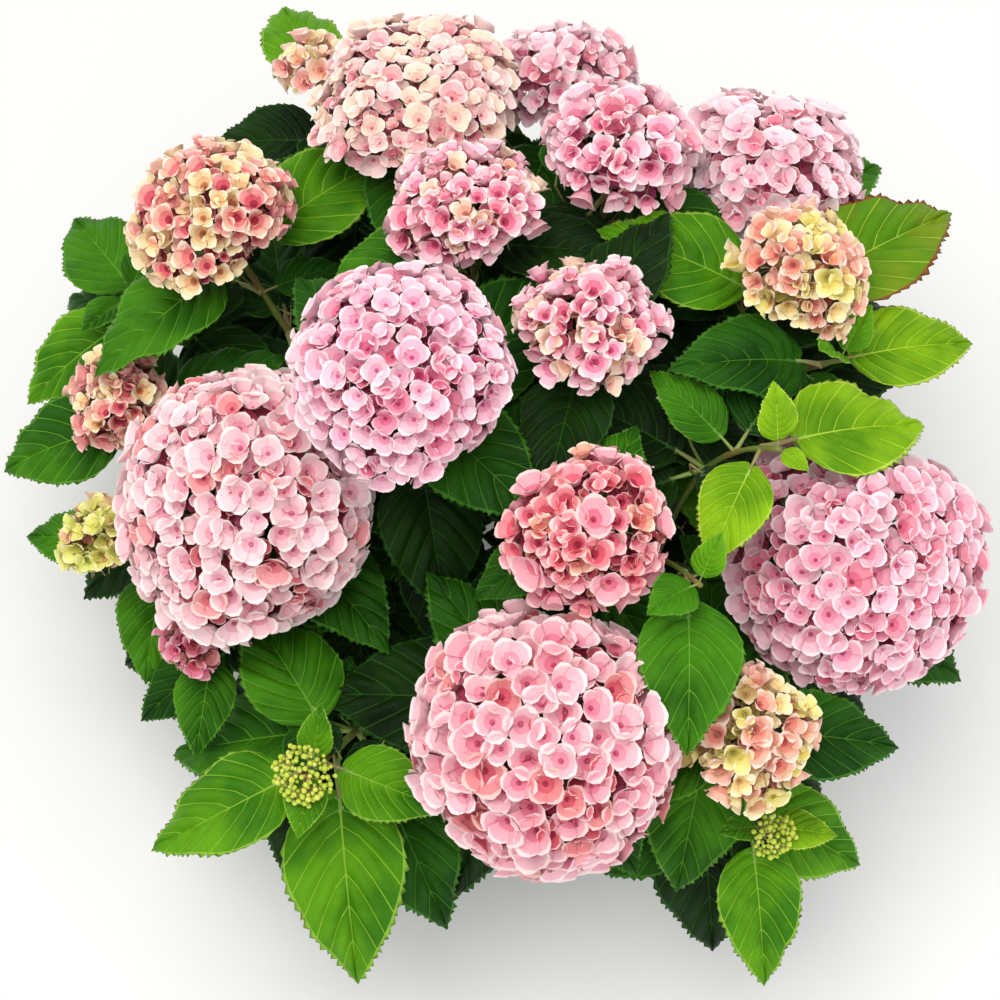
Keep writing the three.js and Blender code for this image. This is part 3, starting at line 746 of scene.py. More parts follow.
def stoolMesh():
    rule = stoolRule
    share = np.linspace(0, 1, rule["rings"])
    knots = np.array(rule["profile"])
    path = np.linspace(0, 1, len(knots))
    radii = np.interp(share, path, knots[:, 0]) * rule["radius"]
    heights = np.interp(share, path, knots[:, 1]) * rule["height"]
    turns = np.arange(rule["around"]) * 2 * math.pi / rule["around"]
    ring, turn = np.meshgrid(np.arange(rule["rings"]), turns, indexing="ij")
    radius, height = radii[ring], heights[ring]
    outer = radius / rule["radius"]
    lobed = radius + rule["lobeDepth"] * outer ** 2 * np.cos(rule["lobes"] * turn)
    furrows, flakes = rule["furrows"], rule["flakes"]
    sway = furrows["sway"] * np.sin(furrows["swayCount"] * turn)
    furrow = np.abs(np.sin(furrows["count"] * turn + sway + furrows["climb"] * height)) ** furrows["soft"]
    sway = flakes["sway"] * np.sin(flakes["swayClimb"] * height)
    flake = np.sin(flakes["count"] * turn + sway) * np.sin(flakes["climb"] * height + flakes["wind"] * turn)
    lobed = lobed + (furrow - 1) * furrows["depth"] + flake * flakes["depth"] * (height > 0)
    places = np.stack([lobed * np.cos(turn), lobed * np.sin(turn), height], -1).reshape(-1, 3)
    around, rises, centre = rule["around"], rule["rings"] - 1, len(places)
    ends = [fan(0, around, centre, True), fan(rises * around, around, centre + 1, False)]
    faces = band(0, around, rises) + ends
    places = np.concatenate([places, [[0, 0, 0], [0, 0, rule["height"] * rule["crown"]]]])
    return places, np.concatenate(faces), barkSlot


caneShape = {
    "rings": 46, "sides": 14, "rough": 0.05, "swell": {"tip": 0.16, "foot": 0.35, "scar": 0.13},
    "fade": {"tip": 14, "foot": 9, "scar": 45}, "scars": (0.35, 0.68),
}
twigShape = {
    "rings": 40, "sides": 8, "rough": 0.02, "root": 1.12, "tip": {"flowering": 0.95, "leafy": 0.7},
    "knotSwell": 0.35, "knotFade": 60, "woodyTo": 0.3, "sunk": 6 * mm,
}


def ringSwell(share, middle, swell, fade):
    return 1 + swell * np.exp(-((share - middle) * fade) ** 2)


def caneMesh(line, seed):
    rule, swell, fade = caneShape, caneShape["swell"], caneShape["fade"]
    share = np.linspace(0, 1, rule["rings"])
    radii = caneRule["footRadius"] + (caneRule["tipRadius"] - caneRule["footRadius"]) * share
    foot = swell["foot"] * np.exp(-share * fade["foot"])
    radii = radii * (ringSwell(share, 1, swell["tip"], fade["tip"]) + foot)
    for scar in rule["scars"]:  # old leaf scars ring the cane
        radii = radii * ringSwell(share, scar, swell["scar"], fade["scar"])
    return tube(bezier(line, share), radii, rule["sides"], barkSlot, rough=rule["rough"], seed=seed)


def twigMesh(start, line, shoot, leaves, number):
    rule, sides = twigShape, twigShape["sides"]
    spots = np.concatenate([[start], bezier(line, np.linspace(0, 1, rule["rings"]))])
    reached = np.concatenate([[0], np.cumsum(np.linalg.norm(np.diff(spots, axis=0), axis=1))])
    reached /= reached[-1]
    root = rule["root"] * twigRule["rootRadius"]
    tip = twigRule["tipRadius"] * rule["tip"]["flowering" if "form" in shoot else "leafy"]
    radii = root + (tip - root) * reached
    for along in {round(leaf["along"], 4) for leaf in leaves}:  # swollen where each pair of leaves stands
        radii = radii * ringSwell(reached, along, rule["knotSwell"], rule["knotFade"])
    places, faces, _ = tube(spots, radii, sides, 0, rough=rule["rough"], seed=number)
    slots = np.where(reached[:-1] < rule["woodyTo"], youngSlot, twigSlot)
    slots = np.concatenate([np.repeat(slots, sides), np.full(sides, youngSlot), np.full(sides, twigSlot)])
    return places, faces, slots


# Side shoots: a short twig and a long one with small leaves in the axil of each leaf. They stay in the shade:
# a small leaf grows under the crown's leaves and heads or deep between them, and is left out where it would
# touch a solid, a head or another small leaf, or leave its mass's reach. A leaf's row is its bearing from the
# twig's, how steeply it rises and its share of the length.
sideRule = {
    "twigs": ((16 * mm, 36 * mm), (40 * mm, 70 * mm)), "rise": (38, 66), "stray": 24,
    "radius": 1.5 * mm, "taper": 0.6, "bend": 0.6, "steps": 5, "sides": 5,
    "leaves": ((90, 18, 1), (-90, 18, 1), (0, 34, 0.8), (180, 42, 0.7)), "length": (44 * mm, 66 * mm),
    # the small side leaves take the deep and dark tones: partly their own green, partly painted shade
    "halfWidth": 0.28, "leafStray": 15, "riseStray": 8, "curl": 30, "tones": ("deep", "darkAndShade", "darkAndShade"),
    "along": (0.35, 0.6, 0.85, 1.0), "aside": 0.8, "apart": 8 * mm, "clear": 2.6 * mm, "headRoom": 0.97,
    "light": (0, -0.35, 0.94), "lightShare": 0.35, "deep": 95 * mm, "seeds": (7000, 12000), "pairs": (20, 60),
}


def inShade(spots, shoot, solids):
    if spots[:, 2].max() < shoot["at"][2] * mm - sideRule["deep"]:
        return True
    light = Vector(sideRule["light"])
    lit = sum(all(solid.ray_cast(Vector(spot), light)[0] is None for solid in solids) for spot in spots)
    return lit <= sideRule["lightShare"] * len(spots)


def insideHead(spots):
    for shoot in (shoot for shoots in crown.values() for shoot in shoots if "form" in shoot):
        form = headForms[shoot["form"]]
        local = (spots - np.array(shoot["at"]) * mm) @ turnedTo(shootAxis(shoot)) / (shoot["radius"] * mm)
        local[:, 2] /= form["depth"] * np.where(local[:, 2] < 0, form["underside"], 1)
        if (np.linalg.norm(local, axis=1) < sideRule["headRoom"]).any():
            return True
    return False


def hasRoom(spots, shoot, reach, solids, taken):
    if not (spots > reach[0]).all() or not (spots < reach[1]).all():
        return False
    if taken and np.linalg.norm(np.concatenate(taken)[:, None] - spots, axis=2).min() < sideRule["apart"]:
        return False
    if insideHead(spots) or not inShade(spots, shoot, solids):
        return False
    return min(solid.find_nearest(Vector(s))[3] for solid in solids for s in spots) >= sideRule["clear"]


def sideShoots(wanted, reach, solids, taken):
    rule, twigs, leaves = sideRule, [], []
    axils = [(leaf, long) for long in (0, 1) for leaf in wanted if leaf["pair"] > 0]
    for leaf, long in axils:
        random = np.random.default_rng(leafSeed(leaf) + rule["seeds"][long])
        turn = leaf["turn"] + random.uniform(-1, 1) * rule["stray"]
        rise = random.uniform(*rule["rise"]) * degree
        heading = np.array([math.cos(turn * degree), math.sin(turn * degree), 0])
        span = random.uniform(*rule["twigs"][long])
        end = leaf["root"] + (heading * math.cos(rise) + up * math.sin(rise)) * span
        grown = []
        for order, (aside, start, share) in enumerate(rule["leaves"]):
            size = random.uniform(*rule["length"]) * share
            small = {
                "root": end, "turn": turn + aside + random.uniform(-1, 1) * rule["leafStray"], "length": size,
                "half": size * rule["halfWidth"], "start": start + random.uniform(-1, 1) * rule["riseStray"],
                "number": leaf["number"], "pair": rule["pairs"][long] + 4 * leaf["pair"] + order,
                "side": leaf["side"], "tone": str(random.choice(rule["tones"])),
            }
            small["end"] = small["start"] - rule["curl"]
            middle, forward, above = arc(small, end, np.array(rule["along"]) * size)
            side = np.cross(forward, above) * small["half"] * rule["aside"]
            spots = np.concatenate([middle, middle[:-1] + side[:-1], middle[:-1] - side[:-1]])
            if hasRoom(spots, leaf["shoot"], reach, solids, taken):
                grown.append((small, spots))
        if grown:
            leaves += [small for small, _ in grown]
            taken += [spots for _, spots in grown]
            lower = rise * rule["bend"]
            bend = leaf["root"] + (heading * math.cos(lower) + up * math.sin(lower)) * span / 2
            line = bezier([leaf["root"], bend, end], np.linspace(0, 1, rule["steps"]))
            radii = rule["radius"] * np.linspace(1, rule["taper"], rule["steps"])
            twigs.append(tube(line, radii, rule["sides"], twigSlot))
    return twigs, leaves


# Heads: stalks that fork under a dome of florets.
headRule = {
    "open": {"hubs": 9, "stalks": 96, "reach": 0.88, "lowest": -0.5, "stalk": 0.75 * mm},
    "flat": {"hubs": 8, "stalks": 72, "reach": 0.86, "lowest": -0.4, "stalk": 0.75 * mm},
    "young": {"hubs": 7, "stalks": 60, "reach": 0.88, "lowest": -0.35, "stalk": 0.7 * mm},
    "bud": {"hubs": 5, "stalks": 40, "reach": 0.9, "lowest": -0.3, "stalk": 0.55 * mm},
}
stalkRule = {  # shares of the head's size or of the stalk's radius
    "fork": 0.75, "hubs": 0.5, "bend": 0.55, "limbs": (1.7, 1.5, 1.2), "stalks": (1, 0.8, 0.7), "lift": 0.02,
    "limbSides": 4, "stalkSides": 3,
}
goldenTurn = 2.39996


def turnedTo(axis):  # the rotation that takes +Z to an axis, as three columns
    return np.array(Vector((0, 0, 1)).rotation_difference(Vector(axis)).to_matrix())


def spiral(count, lowest):
    height = 1 - (np.arange(count) + 0.5) / count * (1 - lowest)
    turn = np.arange(count) * goldenTurn
    flat = np.sqrt(1 - height ** 2)
    return np.stack([flat * np.cos(turn), flat * np.sin(turn), height], 1)


def forkDepth(shoot):  # how far under a head's middle its stalks fork
    form = headForms[shoot["form"]]
    return stalkRule["fork"] * shoot["radius"] * mm * form["depth"] * form["underside"]


def stalkMeshes(shoot):
    rule, form, shares = headRule[shoot["form"]], headForms[shoot["form"]], stalkRule
    centre, radius = np.array(shoot["at"]) * mm, shoot["radius"] * mm
    turn = turnedTo(shootAxis(shoot))
    base = centre - shootAxis(shoot) * forkDepth(shoot)
    ends = spiral(rule["stalks"], rule["lowest"]) * [1, 1, form["depth"]]
    ends[:, 2] *= np.where(ends[:, 2] < 0, form["underside"], 1)
    hubs = spiral(rule["hubs"], 0.0) * shares["hubs"]
    limbs, stalks = np.array(shares["limbs"]) * rule["stalk"], np.array(shares["stalks"]) * rule["stalk"]
    parts = []
    for hub in hubs:
        top = centre + turn @ hub * radius
        line = [base, base + (top - base) * shares["bend"], top]
        parts.append(tube(line, limbs, shares["limbSides"], flowerSlot))
    for end in ends:
        hub = hubs[np.argmin(np.linalg.norm(hubs - end * shares["bend"], axis=1))]
        start, stop = centre + turn @ hub * radius, centre + turn @ end * radius * rule["reach"]
        middle = (start + stop) / 2 + turn @ up * radius * shares["lift"]
        parts.append(tube([start, middle, stop], stalks, shares["stalkSides"], flowerSlot))
    return parts


# Florets. Each is a cup of four sepals round a bead; zones number the parts that take their own colour. A row
# is its radius and height, as shares of the half width, and how many degrees a sepal spreads there each way.
rimZone, petalZone, cupZone, throatZone, beadZone = range(5)
floretKinds = {
    "wide": {
        "rows": ((0.05, 0, 48), (0.17, 0.03, 50), (0.5, 0.22, 55), (0.92, 0.66, 53), (1, 0.75, 44)),
        "zones": (throatZone, cupZone, petalZone, rimZone), "columns": 5, "round": 0.1, "point": 0.13,
        "bead": 0.055,
    },
    "small": {
        # small florets, set between and under the wide ones, are cup pink over most of each sepal: partly
        # their own deeper pink, partly painted shade
        "rows": ((0.08, 0, 48), (0.48, 0.3, 54), (0.92, 0.92, 52), (1, 0.98, 45)),
        "zones": (throatZone, cupZone, rimZone), "columns": 4, "round": 0.07, "point": 0.06, "bead": 0.07,
    },
    "cup": {
        "rows": ((0.1, 0, 46), (0.34, 0.14, 50), (0.66, 0.56, 51), (0.95, 1.05, 46), (1, 1.14, 38)),
        "zones": (throatZone, cupZone, petalZone, rimZone), "columns": 5, "round": 0.1, "point": 0.22,
        "bead": 0.07,
    },
    # deep florets, lowest in a head, are throat pink all over: painted shade in the gaps between the florets
    # above them
    "deep": {
        "rows": ((0.1, 0, 46), (0.6, 0.35, 52), (1, 1, 42)), "zones": (throatZone, throatZone), "columns": 3,
        "round": 0.1, "point": 0.1, "bead": 0,
    },
}
floretRule = {
    "sepals": 4, "variants": 4, "stray": 0.1, "reach": (0.86, 1.12), "rise": (0.75, 1.2), "lap": 0.022,
    "lapInside": 0.25, "crumple": 0.01, "beadSides": 5, "beadLift": 0.02, "beadRings": ((1, 0.0), (0.8, 1.1)),
    "beadTop": 1.7, "firstSeed": 31,
}


def floretMesh(name, kind, seed):  # one unit wide, facing +Z, its stalk end at the origin
    facts, rule = floretKinds[kind], floretRule
    random = np.random.default_rng(seed)
    places, faces, zones = [], [], []
    columns = facts["columns"]
    across = np.linspace(-1, 1, columns)
    last = len(facts["rows"]) - 1
    for sepal in range(rule["sepals"]):
        turn = sepal * 2 * math.pi / rule["sepals"] + random.normal(0, rule["stray"])
        reach = 0.5 * random.uniform(*rule["reach"])
        rise = 0.5 * random.uniform(*rule["rise"])
        lap = rule["lap"] if sepal % 2 else -rule["lap"]
        first = len(places)
        for r, (row, height, halfAngle) in enumerate(facts["rows"]):
            for c in across:
                tip = facts["point"] * (1 - abs(c)) if r == last else 0
                far = row * reach * (1 + tip - facts["round"] * c * c * row)
                here = turn + c * halfAngle * degree
                z = height * rise + lap * (abs(c) + rule["lapInside"]) * row
                z += random.normal(0, rule["crumple"]) * row
                places.append((far * math.cos(here), far * math.sin(here), z))
        for r, zone in enumerate(facts["zones"]):
            for c in range(columns - 1):
                a = first + r * columns + c
                faces.append((a, a + 1, a + columns + 1, a + columns))
                zones.append(zone)
    first, bead, sides = len(places), facts["bead"], rule["beadSides"]
    for radius, height in rule["beadRings"] if bead else ():
        for s in range(sides):
            turn = s * 2 * math.pi / sides
            places.append((radius * bead * math.cos(turn), radius * bead * math.sin(turn),
                           height * bead + rule["beadLift"]))
    if bead:
        places.append((0, 0, rule["beadTop"] * bead + rule["beadLift"]))
        for s in range(sides):
            n = (s + 1) % sides
            faces.append((first + s, first + n, first + sides + n, first + sides + s))
            faces.append((first + sides + s, first + sides + n, first + 2 * sides, -1))
            zones += [beadZone, beadZone]
    mesh = newMesh(name, places, faces, np.zeros(len(faces), int), [None])
    mesh.attributes.new("zone", "INT", "FACE").data.foreach_set("value", np.array(zones, np.int32))
    return mesh


def floretSet(kind):
    group = bpy.data.collections.new("florets_" + kind)
    for i in range(floretRule["variants"]):
        name = "floret_%s_%d" % (kind, i)
        group.objects.link(bpy.data.objects.new(name, floretMesh(name, kind, floretRule["firstSeed"] + i)))
    return group


budShape = {
    "heights": (-0.2, 0.15, 0.5, 0.85, 1), "radii": (0.18, 0.46, 0.56, 0.42, 0.12), "sides": 6, "rough": 0.07,
}


def budSet():  # closed flower buds, small and rounded, lighter towards their tips
    group = bpy.data.collections.new("florets_bud")
    line = [(0, 0, height) for height in budShape["heights"]]
    sides = budShape["sides"]
    for i in range(floretRule["variants"]):
        places, faces, _ = tube(line, budShape["radii"], sides, 0, rough=budShape["rough"], seed=i)
        mesh = newMesh("bud_%d" % i, places, faces, np.zeros(len(faces), int), [None])
        zones = np.full(len(faces), rimZone)
        zones[:2 * sides] = petalZone
        zones[-2 * sides:-sides] = petalZone
        mesh.attributes.new("zone", "INT", "FACE").data.foreach_set("value", zones.astype(np.int32))
        group.objects.link(bpy.data.objects.new("bud_%d" % i, mesh))
    return group


# Petal colours: for each head three tones of rim, petal, cup, throat and bead.
petalColours = {
    "blush": [("#FDEEEC", "#F9D6DC", "#F3BAC8", "#DE849F", "#CF7391"),
              ("#FCE8E4", "#F7C9D0", "#EFA7B7", "#D8708F", "#C76784"),
              ("#F9D2CC", "#F1A5A8", "#E5808C", "#C84F69", "#B84A64")],
    "lilac": [("#FCE9EE", "#F8CEDB", "#F1B0C6", "#DA7AA0", "#C66696"),
              ("#FADFE7", "#F5C0D2", "#EC9EBA", "#D46A95", "#BE5A8B"),
              ("#F6C8D3", "#EE9BB3", "#E07396", "#C44876", "#AC4270")],
    "sugar": [("#FEF0F3", "#FDDFE7", "#F9C8D5", "#EA97B3", "#CC7097"),
              ("#FDE8EC", "#FBD4DE", "#F7B8C9", "#E485A5", "#C6648E"),
              ("#FBD8DA", "#F7B8C3", "#F093A7", "#D66888", "#B44A74")],
    "candy": [("#FEEEF0", "#FDD4E0", "#F6AAC2", "#D86A96", "#B85080"),
              ("#FEE5E8", "#FBC3D3", "#F197B3", "#D05A86", "#AC446E"),
              ("#FDDCDC", "#F8B1BF", "#EA839F", "#C44C76", "#A03C60")],
    "rose": [("#FCE6E6", "#F7C5CF", "#EFA3B6", "#D86C8D", "#C95F82"),
             ("#FADBDB", "#F3B1BE", "#E98BA2", "#D05A7B", "#C05273"),
             ("#F7CBC4", "#EC9498", "#DC6878", "#C0405E", "#AC3C58")],
    "mauve": [("#FDE8ED", "#F9CBD8", "#F3AEC4", "#DC7498", "#C45C88"),
              ("#FBDFE5", "#F6B9CA", "#EE98B3", "#D46284", "#BA507A"),
              ("#F7CAD1", "#ED99AC", "#E17490", "#C4486C", "#A84064")],
    "pink": [("#FEEAE7", "#FDCBD9", "#F398B6", "#D65E8A", "#B84A70"),
             ("#FDE3DF", "#FBBECC", "#EE8BA6", "#CC5278", "#AC4262"),
             ("#FDF0DE", "#FAE2CC", "#F3C1AE", "#D08274", "#B0625A")],
    "coral": [("#FCD5D2", "#F7B0BC", "#EB7E96", "#C64664", "#AE3C58"),
              ("#FAC8C4", "#F2979F", "#E2667C", "#BC3C58", "#A0324C"),
              ("#FAE0C8", "#F3BBA4", "#E78C80", "#BC5250", "#A84E4C")],
    "cream": [("#FDEFE9", "#FBDDD9", "#F5C4C5", "#E08E9F", "#CA748A"),
              ("#FCEEDC", "#FAE0CE", "#F4C2B8", "#DE8E8F", "#C8727A"),
              ("#FAE0DB", "#F5C1C4", "#EEA1AC", "#D47086", "#BE5C76")],
    "peach": [("#FEEBDA", "#FCDABF", "#F8C2A8", "#DE9282", "#C26E66"),
              ("#FEF6D8", "#FCEEBC", "#F8DF9E", "#E2BC82", "#C89C66"),
              ("#FDDFD6", "#F9BFB6", "#F09E98", "#D6706E", "#B85660")],
    "salmon": [("#FDE8D4", "#F9C3B0", "#EE8F92", "#C2465C", "#AC4450"),
               ("#FDF3D2", "#F9E6B8", "#F1C89A", "#C4825E", "#A6644E"),
               ("#FCD8C8", "#F4A8A6", "#E4707F", "#B43C56", "#9A3650")],
    "butter": [("#FCE0D0", "#FAC5B0", "#F1A292", "#D67A72", "#B65860"),
               ("#FDF4D2", "#FBEBB6", "#F5D99A", "#E2BC84", "#BE9262"),
               ("#F9F0B6", "#F4E998", "#EADC7C", "#CEC266", "#A29E5E")],
    "lime": [("#F8F4B2", "#F0ED94", "#E2E276", "#CCCC66", "#AEAE54"),
             ("#F9E0BA", "#F3C8A0", "#E8A888", "#CC8070", "#AC6458"),
             ("#F3F4A8", "#E8EC84", "#D2DC6C", "#B4BE54", "#96A244")],
    "shell": [("#F7C6D0", "#F09DB2", "#E47894", "#C24A70", "#B04A68"),
              ("#F4B8C2", "#E8879E", "#DA6482", "#BA4064", "#A83A5A"),
              ("#EFB0AE", "#E28A8E", "#D06074", "#B03E56", "#9A364C")],
    "bud": [("#CFDC4E", "#B6CA3C", "#98B432", "#7D9A2C", "#7D9A2C"),
            ("#C2D444", "#A2BC36", "#88A62E", "#708E28", "#708E28"),
            ("#DCE366", "#C2D04A", "#A2BA3A", "#869E30", "#869E30")],
}
zoneNames = ("rim", "petal", "cup", "throat", "bead")
petalMaterials = {}


def petalsOf(colours):
    if colours not in petalMaterials:
        petalMaterials[colours] = [
            [finish("%s_%s_%d" % (colours, zone, tone), code, roughness=0.55, spread=0.1, grain=380,
                    relief=0.00015, sheen=0.15, gloss=0.2) for zone, code in zip(zoneNames, codes)]
            for tone, codes in enumerate(petalColours[colours])
        ]
    return petalMaterials[colours]


# One layer of florets on a dome: points kept apart from each other and clear of the layers before, and on
# each a floret that faces outward and a little upward. Its sizes are the named inputs, in metres.
layerSizes = (
    "Spacing", "Width", "Spread", "Inset", "Sunk", "Clear", "Lowest", "Upward", "Loose", "Second tone",
    "Third tone",
)
layerInputs = (("Florets", "Collection"), *((label, "Float") for label in layerSizes), ("Seed", "Int"))
layerRule = {"density": 90000, "sink": (-1.0, 0.55), "turn": (0, 0, 6.283)}
salt = {"sink": 11, "stray": 12, "turn": 13, "size": 14, "shape": 15, "tone": 16}  # added to a layer's seed


def newTree(name, inputs, results):  # a tree with its sockets, and what it is given and gives back
    tree = bpy.data.node_groups.new(name, "GeometryNodeTree")
    for label, kind in inputs:
        tree.interface.new_socket(label, in_out="INPUT", socket_type="NodeSocket" + kind)
    for label in results:
        tree.interface.new_socket(label, in_out="OUTPUT", socket_type="NodeSocketGeometry")
    return tree, tree.nodes.new("NodeGroupInput").outputs, tree.nodes.new("NodeGroupOutput").inputs


def floretLayerTree():
    sockets = (("Dome", "Geometry"), ("Others", "Geometry"), ("Axis", "Vector"), *layerInputs)
    tree, given, results = newTree("floret layer", sockets, ("Florets", "Points"))
    add, put, maths, vectors = nodeTools(tree)

    def chance(kind, low, high, use):
        node = add("FunctionNodeRandomValue", data_type=kind)
        ends = [s for s in node.inputs if s.enabled]
        put(ends[0], low)
        put(ends[1], high)
        put(node.inputs["Seed"], maths("ADD", given["Seed"], salt[use]))
        return next(s for s in node.outputs if s.enabled)

    normal = add("GeometryNodeInputNormal").outputs["Normal"]
    highEnough = maths("GREATER_THAN", vectors("DOT_PRODUCT", normal, given["Axis"]), given["Lowest"])
    scatter = add("GeometryNodeDistributePointsOnFaces", {
        "Mesh": given["Dome"], "Selection": highEnough, "Distance Min": given["Spacing"],
        "Density Max": layerRule["density"], "Seed": given["Seed"],
    }, distribute_method="POISSON")
    outward = scatter.outputs["Normal"]

    near = add("GeometryNodeProximity", {"Geometry": given["Others"]}, target_element="POINTS")
    crowded = maths("LESS_THAN", near.outputs["Distance"], given["Clear"])
    clear = add("GeometryNodeDeleteGeometry", {"Geometry": scatter.outputs["Points"], "Selection": crowded})
    put(results["Points"], clear.outputs["Geometry"])

    uneven = maths("MULTIPLY", given["Sunk"], chance("FLOAT", *layerRule["sink"], "sink"))
    depth = maths("SUBTRACT", uneven, given["Inset"])
    sink = add("GeometryNodeSetPosition", {
        "Geometry": clear.outputs["Geometry"], "Offset": vectors("SCALE", outward, Scale=depth),
    })
    aim = vectors("ADD", outward, vectors("SCALE", given["Axis"], Scale=given["Upward"]))
    anyWay = chance("FLOAT_VECTOR", (-1, -1, -1), (1, 1, 1), "stray")
    stray = vectors("SCALE", anyWay, Scale=given["Loose"])
    stand = add("FunctionNodeAlignRotationToVector", {"Vector": vectors("ADD", aim, stray)}, axis="Z")
    spin = add("FunctionNodeRotateRotation", {
        "Rotation": stand.outputs["Rotation"],
        "Rotate By": chance("FLOAT_VECTOR", (0, 0, 0), layerRule["turn"], "turn"),
    }, rotation_space="LOCAL")

    source = add("GeometryNodeCollectionInfo", {
        "Collection": given["Florets"], "Separate Children": True, "Reset Children": True,
    })
    varied = maths("MULTIPLY_ADD", given["Spread"], chance("FLOAT", -1.0, 1.0, "size"), 1.0)
    grow = add("GeometryNodeInstanceOnPoints", {
        "Points": sink.outputs["Geometry"], "Instance": source.outputs[0], "Pick Instance": True,
        "Instance Index": chance("INT", 0, floretRule["variants"] - 1, "shape"),
        "Rotation": spin.outputs["Rotation"], "Scale": maths("MULTIPLY", given["Width"], varied),
    })
    dealt = chance("FLOAT", 0.0, 1.0, "tone")
    later = [maths("GREATER_THAN", dealt, given[label]) for label in ("Second tone", "Third tone")]
    store = add("GeometryNodeStoreNamedAttribute", {
        "Geometry": grow.outputs["Instances"], "Name": "tone", "Value": maths("ADD", *later),
    }, data_type="INT", domain="INSTANCE")
    put(results["Florets"], store.outputs["Geometry"])
    return tree


floretLayer = floretLayerTree()


def headTree(name, layers, materials):  # a head's layers of florets, realized and painted by zone and tone
    asked = [("%s %d" % (label, order), kind) for order in range(layers) for label, kind in layerInputs]
    sockets = (("Dome", "Geometry"), ("Axis", "Vector"), *asked)
    tree, given, results = newTree(name, sockets, ("Geometry",))
    add, put, maths, _ = nodeTools(tree)
    florets, points = add("GeometryNodeJoinGeometry"), None
    for order in range(layers):
        values = {label: given["%s %d" % (label, order)] for label, _ in layerInputs}
        values.update({"Dome": given["Dome"], "Axis": given["Axis"]})
        layer = add("GeometryNodeGroup", values, node_tree=floretLayer)
        if points:
            put(layer.inputs["Others"], points)
        both = add("GeometryNodeJoinGeometry")
        for part in (layer.outputs["Points"], points):
            if part:
                put(both.inputs["Geometry"], part)
        points = both.outputs["Geometry"]
        put(florets.inputs["Geometry"], layer.outputs["Florets"])
    shape = add("GeometryNodeRealizeInstances", {"Geometry": florets.outputs["Geometry"]}).outputs["Geometry"]

    def marked(label, number):  # whether a face's mark is that number
        node = add("GeometryNodeInputNamedAttribute", {"Name": label}, data_type="INT")
        return maths("COMPARE", node.outputs["Attribute"], float(number), 0.4)

    for t, codes in enumerate(materials):
        for z, material in enumerate(codes):
            paint = add("GeometryNodeSetMaterial", {
                "Geometry": shape, "Selection": maths("MULTIPLY", marked("zone", z), marked("tone", t)),
                "Material": material,
            })
            shape = paint.outputs["Geometry"]
    put(results["Geometry"], shape)
    return tree


# What grows on each form of head: layers of florets, the widest first, and each fills the room between those
# before. A row is the kind of floret and then the layer's sizes in their order above, lengths in millimetres.
# Clear is the room it leaves round the florets before it, and -1 leaves none.
# The deep layer is painted shade: florets in the throat's deep pink that fill the gaps under the others.
floretLayers = {
    "open": [
        ("wide", 17, 23, 0.2, 10, 5, -1, -0.62, 0.22, 0.42, 0.5, 0.88),
        ("small", 10, 14, 0.25, 13, 4, 10, -0.6, 0.2, 0.4, 0.05, 0.38),
        ("deep", 12, 15, 0.2, 20, 4, -1, -0.6, 0.1, 0.4, 0.0, 0.3),
    ],
    "flat": [
        ("wide", 15.5, 21, 0.24, 9, 6, -1, -0.5, 0.35, 0.5, 0.4, 0.8),
        ("small", 9.5, 13, 0.25, 12, 5, 9, -0.5, 0.2, 0.5, 0.2, 0.6),
        ("deep", 12, 15, 0.2, 19, 4, -1, -0.5, 0.1, 0.4, 0.0, 0.3),
    ],
    "young": [
        ("cup", 13.5, 17, 0.25, 11, 6, -1, -0.45, 0.12, 0.4, 0.45, 0.8),
        ("small", 8.5, 11, 0.25, 14, 5, 8, -0.5, 0.2, 0.42, 0.2, 0.6),
        ("deep", 11, 13, 0.2, 19, 4, -1, -0.5, 0.1, 0.4, 0.4, 0.7),
    ],
    "mixed": [
        ("wide", 44, 25, 0.15, 8, 3, -1, 0.2, 0.15, 0.3, 0.8, 1.0),
        ("cup", 12.5, 17, 0.25, 11, 6, 16, -0.45, 0.15, 0.45, 0.5, 0.88),
        ("small", 8.5, 11, 0.25, 14, 5, 8, -0.5, 0.2, 0.42, 0.3, 0.8),
        ("deep", 11, 13, 0.2, 19, 4, -1, -0.5, 0.1, 0.4, 0.4, 0.9),
    ],
    "bud": [
        ("bud", 3.7, 3.6, 0.24, 1.5, 2, -1, -0.3, 0.3, 0.3, 0.4, 0.75),
        ("bud", 4.2, 3, 0.2, 5, 1, -1, -0.2, 0.3, 0.3, 0.4, 0.75),
    ],
}
floretSets = {kind: floretSet(kind) for kind in floretKinds}
floretSets["bud"] = budSet()


domeRule = {"subdivisions": 4, "waves": 7, "pitch": 3.1, "phases": (0, 6)}


def domeMesh(shoot, seed):  # the skin of a head, which its florets stand in
    form = headForms[shoot["form"]]
    ball = bpy.data.meshes.new("dome")
    shell = bmesh.new()
    bmesh.ops.create_icosphere(shell, subdivisions=domeRule["subdivisions"], radius=1)
    shell.to_mesh(ball)
    shell.free()
    places = np.empty(len(ball.vertices) * 3)
    ball.vertices.foreach_get("co", places)
    places = places.reshape(-1, 3)
    random = np.random.default_rng(seed)
    bumps = np.ones(len(places))
    for way in random.normal(0, 1, (domeRule["waves"], 3)):
        wave = np.sin(places @ way * domeRule["pitch"] + random.uniform(*domeRule["phases"]))
        bumps += swell[shoot["form"]] * wave
    places[:, 2] *= form["depth"] * np.where(places[:, 2] < 0, form["underside"], 1)
    size = bumps * shoot["radius"] * mm
    places = places * size[:, None] @ turnedTo(shootAxis(shoot)).T + np.array(shoot["at"]) * mm
    ball.vertices.foreach_set("co", places.ravel())
    ball.update()
    return ball


